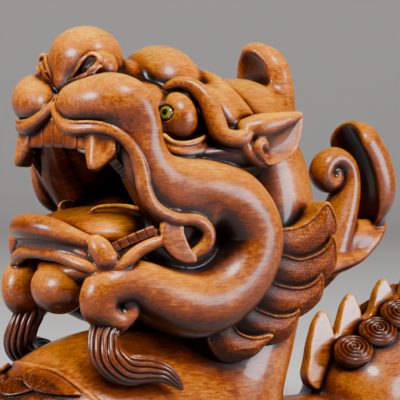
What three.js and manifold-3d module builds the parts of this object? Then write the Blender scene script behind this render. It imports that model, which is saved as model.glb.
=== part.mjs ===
// Carved boxwood pixiu, a bust cut flat below, with two small glass eye inlays.
// Millimetres, +Z up, the face looks along -Y and the animal's left side is +X.
// The carving is symmetric about the plane X = 0: side forms are made on the left and mirrored.
import * as THREE from 'three';
import { mergeVertices } from 'three/addons/utils/BufferGeometryUtils.js';
import Module from 'manifold-3d';

const wasm = await Module();
wasm.setup();

// Driving dimensions. A place along a roll is [x, y, z, radius]. Places are measured from a point
// under the jaws, and the finished bust is moved back so that its origin is the middle of its underside.
const JAWS_TO_MIDDLE = 7.04;

// Trunk: the chest, the neck, the start of the back and the low base that joins them.
const CHEST = { centre: [0, -30, -8], radii: [34, 55, 44] };
const NECK = [[0, 13, 92, 15], [0, 19, 76, 18.5], [0, 19.5, 58, 19], [0, 12, 34, 20], [0, 2, 12, 23], [0, -4, -12, 27]];
const BASE = [[0, -10, -16, 26], [0, 72, -16, 25]];
const BACK = [[0, 66, 7, 19.5], [0, 80, 14.5, 19]];

// Fin comb on the middle of the back. A place in it is [y, z].
const FINS = { count: 4, tip: [50.4, 34.4], notch: [56, 27], pitch: 12.8, rise: 4.2, round: 1.3, thick: 4 };

// Rosettes beside the fins, each a low disc.
const ROSETTES = { count: 3, first: [8.4, 56, 21.4], step: [0.2, 11, 4.4], radii: [4.8, 5.8, 2.4] };
const ROSETTE_TURN = [0.35, 0.62, 0];

// Breastplate: a raised rim round rows of leaf scales on the front of the chest.
const PLATE_RIM = [[0, -63, 28, 1.6], [10, -60, 27, 1.6], [20, -56, 21.6, 1.6], [28, -52.4, 8, 1.6], [31, -50, -6, 1.6]];
const SCALE_ROWS = { heights: [23.6, 14, 4.6], half_spans: [8, 20, 24], pitch: 13, radii: [7.4, 6, 2.2], sunk: 1.4 };

// Skull: crown, muzzle, forehead and the hollow of the mouth.
const SKULL = { centre: [0, 0, 89], radii: [19.5, 34, 17] };
const CROWN = { centre: [0, 14, 94.6], radii: [17.5, 18, 14] };
const MUZZLE = { centre: [0, -36, 99], radii: [17, 20, 10.5] };
const DOME = { centre: [0, -15.6, 105.4], radii: [13.5, 13, 12.6] };
const BRIDGE = { centre: [0, -33, 106], radii: [9, 14, 8.6] };
const NOSE = { centre: [0, -41.6, 113.8], radii: [12, 10, 9.4] };
const NOSE_FOLD = [[0, -29, 114, 4.2], [7.4, -31, 112, 4.6], [11, -36, 108.6, 4], [11.4, -41.6, 107, 1.8]];
const JAW = { centre: [0, -32, 53.5], radii: [20, 26, 7.6] };
const CHIN_BULB = { centre: [0, -51.5, 47.6], radii: [11.5, 7, 7.2] };
const MOUTH = { centre: [0, -50, 77.6], radii: [19.5, 33, 11.6] };
const CHEEK_WEB = { centre: [16.6, -21, 62], radii: [9, 13, 12] };
const CHEEK_LINING = [[21, -43, 90, 4], [22.6, -40, 81, 4.6], [22.8, -35, 73, 5.2], [23.4, -27, 64, 5.6]];

// Nostrils: a thin raised loop round a slot, from the front of the nose up its side.
const NOSTRIL = [[4, -54.6, 104.2, 1], [9, -53.4, 106.4, 1.2], [12.8, -48.6, 110, 1.3], [12.8, -44, 113, 1.3],
  [14.6, -46.4, 109, 1.2], [12.6, -50.8, 106, 1.2]];

// The fat roll from the upper lip over the cheek and round the jaw into the chin volute.
const CHEEK_ROLL = [
  [11, -50, 102.5, 6.6], [14, -48.5, 102.6, 7.7], [18.5, -45.5, 102.4, 7.6], [21.5, -41, 100.5, 6.7],
  [22.8, -38, 95, 5.2], [22.8, -36, 88.6, 4.7], [22.6, -32.6, 82.4, 5.8], [22.4, -25.5, 78.4, 7.4],
  [22.4, -15.5, 76.4, 8.7], [22.2, -6, 72.8, 9.7], [21.6, 0.6, 64.5, 10.2], [21.2, -0.6, 55.4, 10.6],
  [21, -8, 47.6, 10.8], [21, -19, 44, 10.4], [21.2, -31, 46.8, 8.8], [21.4, -41, 51, 6.6],
  [20.6, -49.4, 50, 5.9], [20, -51, 44.6, 5.2], [20.6, -46, 41, 4], [21.8, -42.2, 43.6, 2.8], [22.6, -43, 47, 1.8],
];

// Lips, teeth and tongue.
const UPPER_LIP = [
  [0, -55.5, 97.2, 1.7], [7, -56.4, 94.8, 1.8], [14, -55, 94, 2], [20, -51.6, 93.4, 2.1], [23.6, -47.2, 91.6, 2],
  [25.2, -43.6, 86.6, 1.9], [25.8, -41.8, 79, 1.9], [26.4, -37.4, 72, 2], [27.4, -30, 69.4, 2],
  [28.4, -23.4, 68.4, 2], [29, -19.4, 65, 2], [29, -20, 61, 2], [28.4, -23.4, 59.4, 1.7],
];
const LOWER_LIP = [
  [0, -56.6, 58.8, 1.9], [9, -56.2, 58.4, 1.9], [17, -53.8, 56.2, 2.1], [22, -49.8, 54.8, 2.1],
  [24, -45.4, 57, 2.1], [25, -41, 60.4, 2], [26.2, -36, 62.4, 1.9], [27, -31.6, 63, 1.6],
];
const UPPER_TEETH = { count: 6, half_span: 12, front: -55.4, curve: 0.014, z: 92.4, radii: [2.5, 1.9, 5] };
const UPPER_FANG = [[18.8, -50.6, 92, 4.6], [19, -51.4, 87.4, 4.6], [18.8, -52.4, 83.6, 3]];
const TONGUE = { centre: [0, -40, 63], radii: [16.5, 19, 4.4] };
const TONGUE_TIP = [[0, -60, 67.2, 3.9], [8, -58.4, 66.4, 3.6], [14.6, -54.4, 63.6, 2.9], [18.4, -50.4, 62, 1.8]];
const LOWER_FANG = { centre: [20, -51.4, 60.6], radii: [3.1, 3.3, 4] };
const LOWER_TEETH = { count: 3, from: [22, -46, 58.8], to: [24.2, -36, 63], radii: [2.2, 3, 3.2] };
const CORNER_TAB = [[27, -31, 69, 3], [27.8, -31.6, 63.6, 3.6], [28.2, -28.6, 59.4, 2.6], [28.6, -25, 57.2, 0.9]];

// Eyes and brows. The glass is let into the front of the wooden eyeball.
const EYEBALL = { centre: [14.6, -20.6, 97], radii: [7, 6.6, 7.4] };
const SOCKET = { centre: [19, -21, 96.6], radii: [8.4, 7.8, 8.8] };
const GLASS = { aim: [3.4, -6.2, 2], radius: 2.1, proud: 0.6, deep: 1.6, sides: 12 };
const GAP = 0.3;
const LOWER_LID = [[17.4, -27, 91, 2.2], [19.6, -21.6, 87.6, 2.7], [19.8, -16, 87, 2.7], [19, -11.6, 89.4, 2.2]];
const BROW = [
  [12.6, -27.4, 103.6, 2.2], [14.6, -22.8, 106.6, 3.2], [17, -17.4, 107.6, 3.8], [19.6, -13.2, 104.2, 3.8],
  [22, -12, 98.4, 3.6], [23.6, -9.4, 92.4, 3.5], [24.8, -5.8, 90.4, 3.1], [25.8, -2.6, 92, 2.4],
];
const BROW_FOLD = [[4, -3, 108, 3], [10.5, -3, 105, 3.4], [16.4, -2.6, 100.4, 3.6], [20.6, -0.8, 95.6, 3]];

// Ears: a thick upper roll, a hollowed leaf below it and a curl at its root.
const EAR_ROLL = [[22, -1.4, 91, 3.2], [25.6, 3.6, 94.4, 4], [27, 10.4, 96.8, 3.6], [27.8, 17, 98, 1.3]];
const EAR_LEAF = [[24.4, 3.4, 84.4, 3], [26, 7.6, 88.4, 6.4], [26.6, 12.4, 91.6, 6.8], [27.4, 16.4, 95.6, 2.6]];
const EAR_HOLLOW = [[29, 7, 84.8, 2], [31, 10, 88.6, 4.4], [31.4, 13, 91.4, 4.6], [30.6, 15.6, 94, 2]];
const EAR_CURL = { centre: [27.4, 2.4, 87.6], radii: [2.4, 2.7, 2.7] };

// Horn: a broad tongue that stands on the crown and leans forward, scooped in front.
const HORN = [[0, 22.6, 96, 8], [0, 26.8, 103.6, 7.2], [0, 25, 111.2, 5.8], [0, 20.2, 115.6, 3.6]];
const HORN_SCOOP = { centre: [0, 16.4, 107.4], radii: [7.4, 6.8, 8.6] };
const HORN_BREADTH = 1.5;

// Mane: five overlapping lobes behind each cheek, from the top down.
const MANE = [
  [[20, 4, 63, 6], [23.4, 16, 60.6, 6.8], [24.6, 26, 63, 6], [24.4, 30, 72, 1.2]],
  [[20, 3, 54, 6], [23.8, 16, 51, 6.8], [25, 26.6, 53, 6], [25, 31.4, 61.6, 1.2]],
  [[20, 0, 46, 6], [24, 12, 42.4, 6.6], [25.2, 22.6, 43.6, 5.8], [25, 28, 51.4, 1.2]],
  [[20, -6, 40, 6], [24.2, 6, 35.2, 6], [25.4, 16, 35.2, 4.8], [25.2, 21.6, 40.6, 1]],
  [[21, -11, 34.4, 4.6], [24.6, -3.6, 30.6, 5.2], [25.6, 3.6, 30, 3.8], [25.8, 9.6, 32.8, 1]],
];
const MANE_DEPTH = 0.5;
const MANE_ROOT = [[15, 3, 64, 9.6], [15.4, 3, 48, 10], [15, -6, 36, 8]];

// Nape lock on the middle plane: a volute, a tall cupped leaf behind it and the sheath of both.
const NAPE_VOLUTE = [[0, 26, 46, 7], [0, 44, 46.6, 6.2], [0, 56, 54, 5.8], [0, 61, 64, 5.4], [0, 61.6, 73, 5],
  [0, 58, 80.4, 4.9], [0, 50.6, 81.4, 5.1], [0, 46.4, 76, 4.9], [0, 49.4, 70.6, 4], [0, 54.6, 72, 3]];
const NAPE_LEAF = [[0, 62, 57, 4], [0, 71, 66, 5.2], [0, 73, 75, 5.4], [0, 69, 84, 5.4], [0, 62.4, 89.6, 5], [0, 55, 89, 3]];
const NAPE_SHEATH = [[0, 34, 46, 6], [0, 50, 48, 5.4], [0, 61, 52, 5], [0, 68.6, 58.6, 4], [0, 72, 65, 1.6]];
const NAPE_BREADTH = 1.5;

// Beard: a lock that hangs from each chin volute and sweeps back over the chest.
const BEARD = [
  [19.4, -49.4, 41, 4.6], [20, -51.4, 34, 5.2], [22, -49.6, 28.6, 5.2], [25, -43.4, 26.6, 4.4],
  [27, -38, 28, 3.4], [28.6, -33, 26.4, 2.2], [29.4, -29.6, 22.6, 0.8],
];

const WOOD = new THREE.MeshStandardMaterial({ color: 0x9a5a1c, roughness: 0.34, metalness: 0 });
const EYE_GLASS = new THREE.MeshStandardMaterial({ color: 0x8f9a2c, roughness: 0.08, metalness: 0 });

// Joins and cuts.
function solid(geometry) {
  const bare = geometry.clone();
  bare.deleteAttribute('normal');
  bare.deleteAttribute('uv');
  const merged = mergeVertices(bare, 1e-4);
  const vertProperties = new Float32Array(merged.attributes.position.array);
  const triVerts = new Uint32Array(merged.index.array);
  return new wasm.Manifold(new wasm.Mesh({ numProp: 3, vertProperties, triVerts }));
}

function geometryOf(body) {
  const mesh = body.getMesh();
  const geometry = new THREE.BufferGeometry();
  geometry.setAttribute('position', new THREE.BufferAttribute(new Float32Array(mesh.vertProperties), 3));
  geometry.setIndex(new THREE.BufferAttribute(new Uint32Array(mesh.triVerts), 1));
  return geometry;
}

function joined(bodies) {
  return bodies.reduce((whole, body) => whole.add(body));
}

function mirrored(body) {
  const geometry = geometryOf(body).scale(-1, 1, 1);
  const corners = geometry.index.array;
  for (let i = 0; i < corners.length; i += 3) {
    [corners[i], corners[i + 1]] = [corners[i + 1], corners[i]];
  }
  return solid(geometry);
}

// A ball with its own radius along each axis, turned about its centre.
function ball({ centre, radii, turn = [0, 0, 0] }, sides, rows) {
  const geometry = new THREE.SphereGeometry(1, sides, rows);
  geometry.rotateX(Math.PI / 2);
  geometry.scale(...radii);
  geometry.applyMatrix4(new THREE.Matrix4().makeRotationFromEuler(new THREE.Euler(...turn)));
  geometry.translate(...centre);
  return solid(geometry);
}

// The places of a form that crosses the middle plane, from those on the left of it.
function across(places) {
  const right = places.slice(1).map(([x, y, z, radius]) => [-x, y, z, radius]);
  return [...right.reverse(), ...places];
}

// A closed roll: a sphere drawn out along a smooth curve through the places, with their radii.
// Its section is deep times as thick along facing as across it.
function roll(places, sides, { deep = 1, facing = [1, 0, 0] } = {}) {
  const points = places.map(([x, y, z]) => new THREE.Vector3(x, y, z));
  const curve = new THREE.CatmullRomCurve3(points);
  const out = new THREE.Vector3(...facing);
  const last = places.length - 1;
  const stations = points.map((point, i) => ({ point, along: curve.getTangent(i / last), radius: places[i][3] }));
  const cap = ({ point, along, radius }, sign, reach, share) => ({
    point: point.clone().addScaledVector(along, sign * radius * reach), along, radius: radius * share,
  });
  const rings = [
    cap(stations[0], -1, 0.96, 0), cap(stations[0], -1, 0.66, 0.72), ...stations,
    cap(stations[last], 1, 0.66, 0.72), cap(stations[last], 1, 0.96, 0),
  ];
  const geometry = new THREE.SphereGeometry(1, sides, rings.length - 1);
  const position = geometry.attributes.position;
  rings.forEach(({ point, along, radius }, row) => {
    const across = out.clone().cross(along).normalize();
    const depth = along.clone().cross(across).normalize();
    for (let side = 0; side <= sides; side += 1) {
      const angle = (-2 * Math.PI * (side % sides)) / sides;
      const place = point.clone();
      place.addScaledVector(across, radius * Math.cos(angle));
      place.addScaledVector(depth, radius * deep * Math.sin(angle));
      position.setXYZ(row * (sides + 1) + side, place.x, place.y, place.z);
    }
  });
  return solid(geometry);
}

// The fin comb: rounded tongues on a rising line, cut from one plate.
function fins() {
  const { count, tip, notch, pitch, rise, round, thick } = FINS;
  const shape = new THREE.Shape();
  shape.moveTo(tip[0] + 2, 4);
  shape.lineTo(tip[0] - 3.4, tip[1] - 19);
  for (let i = 0; i < count; i += 1) {
    const y = tip[0] + i * pitch;
    const z = tip[1] + i * rise;
    shape.quadraticCurveTo(y - 2.6, z - 5, y - round, z - round);
    shape.quadraticCurveTo(y, z + round, y + round, z - round);
    if (i < count - 1) {
      shape.quadraticCurveTo(y + 2.2, z - 6.4, notch[0] + i * pitch, notch[1] + i * rise);
      shape.quadraticCurveTo(y + pitch - 5, z - 6.4 + rise / 2, y + pitch - 4, z - 4);
    } else {
      shape.quadraticCurveTo(y + 2.2, z - 10, y + 6, z - 17);
    }
  }
  shape.lineTo(tip[0] + (count - 1) * pitch, 10);
  const geometry = new THREE.ExtrudeGeometry(shape, { depth: thick, bevelEnabled: false, curveSegments: 2 });
  geometry.translate(0, 0, -thick / 2);
  geometry.applyMatrix4(new THREE.Matrix4().set(0, 0, 1, 0, 1, 0, 0, 0, 0, 1, 0, 0, 0, 0, 0, 1));
  return solid(geometry);
}

function rosettes() {
  const { count, first, step, radii } = ROSETTES;
  const bodies = [];
  for (let i = 0; i < count; i += 1) {
    const centre = first.map((value, axis) => value + i * step[axis]);
    bodies.push(ball({ centre, radii, turn: ROSETTE_TURN }, 7, 3));
  }
  return joined(bodies);
}

// Leaf scales in rows on the chest, each one leaning out at its lower edge.
function scales() {
  const { heights, half_spans, pitch, radii, sunk } = SCALE_ROWS;
  const bodies = [];
  heights.forEach((z, row) => {
    const spare = Math.sqrt(1 - ((z - CHEST.centre[2]) / CHEST.radii[2]) ** 2);
    for (let x = ((row % 2) * pitch) / 2; x <= half_spans[row]; x += pitch) {
      const y = sunk + CHEST.centre[1] - CHEST.radii[1] * Math.sqrt(spare ** 2 - (x / CHEST.radii[0]) ** 2);
      bodies.push(ball({ centre: [x, y, z], radii, turn: [1.05 + row * 0.15, 0, Math.atan2(x, -y) * 0.9] }, 6, 3));
    }
  });
  return joined(bodies);
}

function toothRow() {
  const { count, half_span, front, curve, z, radii } = UPPER_TEETH;
  const bodies = [];
  for (let i = 0; i < count; i += 1) {
    const x = half_span * ((2 * i) / (count - 1) - 1);
    bodies.push(ball({ centre: [x, front + curve * x * x, z], radii }, 5, 3));
  }
  return joined(bodies);
}

function lowerTeeth() {
  const { count, from, to, radii } = LOWER_TEETH;
  const bodies = [];
  for (let i = 0; i < count; i += 1) {
    const centre = from.map((value, axis) => THREE.MathUtils.lerp(value, to[axis], i / (count - 1)));
    bodies.push(ball({ centre, radii }, 5, 3));
  }
  return joined(bodies);
}

// The glass inlay, or the pocket for it when it is made larger by a gap.
function glass(gap) {
  const { aim, radius, proud, deep, sides } = GLASS;
  const direction = new THREE.Vector3(...aim).normalize();
  const reach = new THREE.Vector3(...EYEBALL.radii).multiply(direction).length();
  const rim = gap > 0 ? proud + 2 * gap : 0;
  const dome = gap > 0 ? [[0, rim]] : [[radius * 0.7, proud * 0.7], [0, proud]];
  const outline = [[0, -deep - gap], [radius + gap, -deep - gap], [radius + gap, rim], ...dome];
  const geometry = new THREE.LatheGeometry(outline.map(([r, h]) => new THREE.Vector2(r, h)), sides);
  geometry.applyQuaternion(new THREE.Quaternion().setFromUnitVectors(new THREE.Vector3(0, 1, 0), direction));
  const place = new THREE.Vector3(...EYEBALL.centre).addScaledVector(direction, reach);
  geometry.translate(place.x, place.y, place.z);
  return solid(geometry);
}

function ear() {
  const leaf = roll(EAR_LEAF, 6, { deep: 0.6 }).subtract(roll(EAR_HOLLOW, 5));
  return joined([leaf, roll(EAR_ROLL, 6), ball(EAR_CURL, 5, 3)]);
}

function horn() {
  return roll(HORN, 10, { deep: HORN_BREADTH }).subtract(ball(HORN_SCOOP, 9, 6));
}

// The head without its side forms, with the mouth and the eye sockets cut into it.
function head() {
  const core = joined([ball(SKULL, 10, 6), ball(CROWN, 11, 6), ball(MUZZLE, 8, 5), ball(JAW, 9, 4)]);
  const socket = ball(SOCKET, 7, 5);
  const cut = core.subtract(ball(MOUTH, 9, 6)).subtract(socket).subtract(mirrored(socket));
  return joined([cut, ball(DOME, 11, 6), ball(BRIDGE, 8, 5), ball(NOSE, 11, 7), ball(CHIN_BULB, 9, 5)]);
}

function leftSide() {
  return joined([
    roll(CHEEK_ROLL, 8), roll(CHEEK_LINING, 5), ball(CHEEK_WEB, 8, 5), roll(NOSTRIL, 4), roll(NOSE_FOLD, 5),
    roll(UPPER_FANG, 5), roll(CORNER_TAB, 5, { deep: 0.55 }), roll(LOWER_LID, 4), roll(BROW, 6),
    roll(BROW_FOLD, 5), ball(LOWER_FANG, 5, 4), lowerTeeth(), ball(EYEBALL, 8, 6).subtract(glass(GAP)),
    ear(), roll(BEARD, 5), rosettes(), scales(), roll(MANE_ROOT, 5), ...MANE.map((lobe) => roll(lobe, 5, { deep: MANE_DEPTH })),
  ]);
}

function middle() {
  const broad = { deep: NAPE_BREADTH };
  const upright = { facing: [0, -0.6, 0.8] };
  return joined([
    ball(CHEST, 14, 8), roll(NECK, 10), roll(BASE, 10), roll(BACK, 10), fins(), head(), horn(), toothRow(),
    roll(across(UPPER_LIP), 4, upright), roll(across(LOWER_LIP), 4, upright), ball(TONGUE, 9, 4),
    roll(across(TONGUE_TIP), 6, upright), roll(across(PLATE_RIM), 4, upright), roll(NAPE_VOLUTE, 6),
    roll(NAPE_LEAF, 7, broad), roll(NAPE_SHEATH, 6, broad),
  ]);
}

const left = leftSide();
const pocket = glass(GAP);
const ground = solid(new THREE.BoxGeometry(400, 400, 200).translate(0, 0, -100));
const bust = joined([middle().subtract(pocket).subtract(mirrored(pocket)), left, mirrored(left)]).subtract(ground);

const statue = new THREE.Group();
function put(name, body, material) {
  const mesh = new THREE.Mesh(geometryOf(body).translate(0, -JAWS_TO_MIDDLE, 0), material);
  mesh.name = name;
  statue.add(mesh);
}
put('pixiu_bust', bust, WOOD);
put('glass_eye_left', glass(0), EYE_GLASS);
put('glass_eye_right', mirrored(glass(0)), EYE_GLASS);

export default statue;
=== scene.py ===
import math

import bmesh
import bpy
import numpy as np
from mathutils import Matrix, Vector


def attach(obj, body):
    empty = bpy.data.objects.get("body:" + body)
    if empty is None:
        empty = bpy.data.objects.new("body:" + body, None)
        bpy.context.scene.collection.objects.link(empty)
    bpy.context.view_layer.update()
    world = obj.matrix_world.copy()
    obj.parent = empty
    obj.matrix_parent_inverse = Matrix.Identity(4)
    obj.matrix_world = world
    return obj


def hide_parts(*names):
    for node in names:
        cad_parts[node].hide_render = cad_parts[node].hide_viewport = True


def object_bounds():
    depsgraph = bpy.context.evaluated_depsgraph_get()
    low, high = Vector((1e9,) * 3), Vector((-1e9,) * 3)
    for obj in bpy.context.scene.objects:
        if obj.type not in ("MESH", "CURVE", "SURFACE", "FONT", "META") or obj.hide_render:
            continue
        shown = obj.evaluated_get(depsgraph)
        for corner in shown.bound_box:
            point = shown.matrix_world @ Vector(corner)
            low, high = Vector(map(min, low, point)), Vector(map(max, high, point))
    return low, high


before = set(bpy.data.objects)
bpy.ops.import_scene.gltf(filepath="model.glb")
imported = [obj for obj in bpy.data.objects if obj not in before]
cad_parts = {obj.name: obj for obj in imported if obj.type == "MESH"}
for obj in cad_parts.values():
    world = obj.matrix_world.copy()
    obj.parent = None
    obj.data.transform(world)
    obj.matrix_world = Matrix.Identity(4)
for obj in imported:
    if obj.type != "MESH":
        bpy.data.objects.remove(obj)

import openvdb
from bpy.props import FloatProperty, FloatVectorProperty, IntProperty, PointerProperty
from mathutils import Matrix, Vector

bl_info = {
    "name": "Carved pixiu bust",
    "version": (1, 0, 0),
    "blender": (4, 5, 0),
    "location": "3D View > Sidebar > Pixiu",
    "description": "Carves, stains and waxes a small boxwood bust of a pixiu with glass eye inlays",
    "category": "Add Mesh",
}

# Places are in millimetres, measured from a point on the underside below the jaws. A roll is a row of
# (x, y, z, radius), and a ball has a centre and three radii. The animal's left side is +X, the face looks
# along -Y, and the right side is the mirror image of the left.
MM = 0.001
JAWS_TO_MIDDLE = 7.04
SHIFT = np.array([0.0, -JAWS_TO_MIDDLE, 0.0])
CAD_BOX = [list(corner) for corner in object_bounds()]
FAR = 9.0

# Trunk
CHEST = {"centre": (0, -30, -8), "radii": (34, 55, 44)}
NECK = [
    (0, 13, 92, 15), (0, 19, 76, 18.5), (0, 19.5, 58, 19), (0, 12, 34, 20), (0, 2, 12, 23),
    (0, -4, -12, 27),
]
BASE = [(0, -10, -16, 26), (0, 72, -16, 25)]
BACK = [(0, 66, 7, 19.5), (0, 80, 14.5, 19)]
# The rim of the breastplate as (x, z) on the front of the chest
PLATE_RIM = [
    (0, 27.9), (8, 27.3), (13, 25.7), (18, 22.8), (22, 19.5), (24.8, 16), (28.6, 6), (30.8, -6),
]
PLATE_RIM_RADIUS = 0.45
# The oval of stippled ground inside the rim
PLATE = {"centre": (0, -73, -2), "radii": (30.6, 60, 29.6)}

# Fin comb: tongues cut from one plate. A tongue is a row of (y, z, radius) from its tip down.
FIN_TONGUE = [(0, 0, 2), (-0.3, -3, 3.5), (-0.4, -6.5, 4.4), (-0.7, -10, 5.1), (-1.6, -17, 5.9)]
FINS = {
    "tips": [(48.6, 33.4), (60.6, 38.1), (75, 42), (87.8, 45.6)],
    "tongue": FIN_TONGUE,
    "web": [(55, 18, 9), (90, 31.8, 9)],
    "thick": 4.6,
    "taper": 0.06,
    "web_slope": 0.4,
}
ROSETTE_SIZE = (6.1, 6.5, 2.8)
# Degrees that the rosettes face outwards from the top, and the turn in radians that sinks their lower ends
ROSETTE_FACING = 33
ROSETTE_SINK = 0.12
ROSETTES = [(7.4, 55.6, 22.4), (7.4, 66, 27.6), (7.4, 75.4, 32.6), (7.4, 83.8, 36.6)]

# Skull
SKULL = {"centre": (0, 0, 89), "radii": (19.5, 34, 17)}
CROWN = {"centre": (0, 13, 94.2), "radii": (17.5, 17, 14.2)}
MUZZLE = {"centre": (0, -33, 99), "radii": (17, 17.6, 10.5)}
DOME = {"centre": (0, -15.6, 105.4), "radii": (13.5, 13, 12.6)}
BRIDGE = {"centre": (0, -33, 106), "radii": (9, 14, 8.6)}
NOSE = {"centre": (0, -41.6, 113.8), "radii": (12, 10, 9.4)}
NOSE_POINT = [(0, -43.6, 109.4, 7.4), (0, -47, 107.6, 4.6), (0, -49, 106.4, 2)]
NOSE_WING = {"centre": (11.4, -44, 111.2), "radii": (4.2, 4.7, 4.3)}
JAW = {"centre": (0, -30, 53.5), "radii": (20, 25, 7.4)}
CHIN_BULB = {"centre": (0, -51, 48.6), "radii": (9.8, 7.2, 7.6)}
MOUTH = {"centre": (0, -50, 77.6), "radii": (19.5, 33, 11.6)}
CHEEK_WEB = {"centre": (16.6, -21, 62), "radii": (9, 13, 12)}
CHEEK_INNER = [
    (21.6, -43.4, 94.6, 3.8), (22.2, -40.6, 88.4, 4.6), (22.4, -37.4, 81.6, 5),
    (22.6, -32.2, 75.8, 5.4), (23, -25.4, 71.8, 5.6), (23.6, -18.6, 68.4, 5),
]
CHEEK_LINING = [(19, -42, 90, 3.4), (20.4, -38, 81, 4), (20.8, -32, 73, 4.6), (21.4, -25, 64, 5.2)]

NOSTRIL_RIM = [
    (0.6, -50.6, 106, 0.5), (4, -50.1, 106.8, 0.55), (9, -49.2, 108.7, 0.6), (12.6, -47.8, 110.2, 0.65),
    (14.8, -47, 112.2, 0.7), (14.8, -47.1, 113.9, 0.7), (12.8, -47.6, 114.9, 0.7),
    (10.8, -48, 114.5, 0.7), (9.2, -48.9, 112.9, 0.7), (6.6, -49.5, 109.9, 0.65),
    (4.2, -49.8, 108, 0.6), (1.2, -50.2, 106.6, 0.5),
]
NOSTRIL_FOLD = [
    (1.2, -50.3, 105.6, 0.4), (4.8, -49.9, 106.2, 0.45), (10, -49.4, 107.9, 0.5),
    (13.8, -48.3, 109.4, 0.5), (15.8, -47.5, 111.4, 0.5),
]
NOSTRIL_SLOT = [
    (8.8, -49.2, 110.4, 0.5), (10.6, -48.8, 111.6, 1), (12.4, -48.4, 112.8, 1.2),
    (13.2, -47.9, 113.4, 0.8),
]
LIP_BACK = [
    (8, -48, 98, 4), (15, -48.4, 97, 3.6), (20.4, -46.4, 96, 3.6), (22.8, -42.6, 92, 3.4),
    (23.4, -39.6, 86, 3),
]
LIP_LINE = [
    (0.3, -51.4, 103.6, 0.3), (0.8, -52.6, 101.8, 0.35), (2.4, -53.3, 100, 0.45), (6, -54.6, 97.6, 0.5),
    (10, -55, 96.2, 0.5), (14, -54.6, 95.9, 0.5), (18, -53.2, 96, 0.5), (21.4, -51, 95.6, 0.5),
    (24, -48, 94, 0.5), (25.8, -44.4, 91, 0.5), (26.4, -41.6, 87, 0.4),
]

CHEEK_ROLL = [
    (6.8, -48.8, 100.9, 6.2), (11.8, -48.8, 101.1, 7.1), (18.5, -45.5, 101.9, 7.8),
    (21.5, -41, 100.5, 6.7), (22.8, -38, 95, 5.2), (22.8, -36, 88.6, 4.7), (22.6, -32.6, 82.4, 5.8),
    (22.4, -25.5, 78.4, 7.4), (22.4, -15.5, 76.4, 8.7), (22.2, -6, 72.8, 9.7), (21.6, 0.6, 64.5, 10.2),
    (21.2, -0.6, 55.4, 10.6), (21, -8, 47.6, 10.8), (21, -19, 44, 10.4), (21.2, -31, 46.8, 8.8),
    (21.4, -41, 51, 6.6), (20.6, -49.4, 50, 5.9), (20, -51, 44.6, 5.2), (20.6, -46, 41, 4),
    (21.8, -42.2, 43.6, 3.1), (22.6, -43.2, 46.6, 2.4),
]

UPPER_LIP = [
    (0, -52.3, 99.8, 1.7), (4.5, -53.6, 96.9, 1.9), (8.4, -54.1, 94.9, 2), (12.6, -53.6, 94, 2),
    (18.4, -51.5, 94.2, 1.8), (22.2, -48.8, 93.5, 1.6), (24.4, -45.3, 90.9, 1.7),
    (25.4, -42.3, 86.6, 2), (26, -40.9, 81.9, 2.1), (26.4, -40.2, 77.4, 2.1), (26.8, -37.4, 72.2, 2.1),
    (27.4, -31, 69, 2.1), (28.4, -24, 68.2, 2.1), (29, -20, 65, 2.1), (29, -20.6, 61, 2),
    (28.2, -24.4, 58.6, 1.6), (27.6, -27.4, 58.2, 1),
]
LOWER_LIP = [
    (0, -56.6, 58.8, 1.9), (9, -56.2, 58.4, 1.9), (17, -53.8, 56.2, 2.1), (22, -49.8, 54.8, 2.1),
    (24, -45.4, 57, 2.1), (25, -41, 60.4, 2), (26.2, -36, 62.4, 1.9), (27, -31.6, 63, 1.6),
]
LOWER_LIP_EDGE = [
    (0, -56.4, 61.6, 0.9), (9, -56, 61.2, 0.9), (16, -54, 59.4, 0.9), (20.4, -50.6, 57.8, 0.9),
    (22.6, -46, 59.4, 0.9), (23.6, -41.6, 62.4, 0.9), (24.8, -36.4, 64.6, 0.9), (26, -32, 65.4, 0.9),
]
UPPER_FANG = [
    (18.4, -49.8, 92.6, 5.2), (18.6, -50, 88.8, 5.1), (18.4, -50.4, 86, 4.4), (18, -50.8, 84.4, 3),
]
# The flat sides of the upper fang: (the way each faces, how far it is from the fang's middle)
FANG_SIDES = [
    ((0.69, -0.73, 0.16), 2.4), ((-0.21, -0.98, 0.1), 3.1), ((-0.62, 0.79, -0.1), 2.4),
    ((0.54, 0.43, -0.73), 5), ((-0.75, -0.3, -0.4), 4.6), ((0, -0.1, -1), 6.6),
]
TONGUE = {"centre": (0, -38, 64), "radii": (18.6, 20, 7.4)}
TONGUE_TIP = [
    (0, -60, 66.4, 3.7), (8, -58.4, 65.8, 3.4), (14.6, -54.4, 63.5, 2.4), (18.4, -50.6, 62, 1.6),
]
TONGUE_EDGE = [
    (6.6, -46.4, 69, 0.3), (8.8, -44.6, 71.4, 0.5), (11.4, -41.4, 72.1, 0.6), (15, -36.8, 71.8, 0.7),
    (18, -32.4, 69.8, 0.7), (20, -29, 66.6, 0.7),
]
LOWER_FANG = [(21.6, -50, 58.4, 3.4), (20.6, -51, 60.8, 3.2), (19.4, -51.8, 62.6, 2.3)]
GUM = [(20.4, -49.2, 59.2, 2), (21.6, -44.6, 60.8, 2), (22.6, -39, 62.8, 2), (23.6, -34, 64.2, 1.8)]
FRONT_GUM = [(0, -56.2, 61.8, 2.6), (8, -55.2, 61.2, 2.6), (15, -51.8, 59.8, 2.6), (20, -48.4, 59, 2.2)]
CORNER_TAB = [
    (27, -31, 69, 3), (27.8, -31.6, 63.6, 3.6), (28.2, -28.6, 59.4, 2.6), (28.6, -25, 57.2, 0.9),
]
CORNER_TAB_THICK = 2.4
CORNER_TAB_FACING = (1, -0.15, 0)

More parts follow.
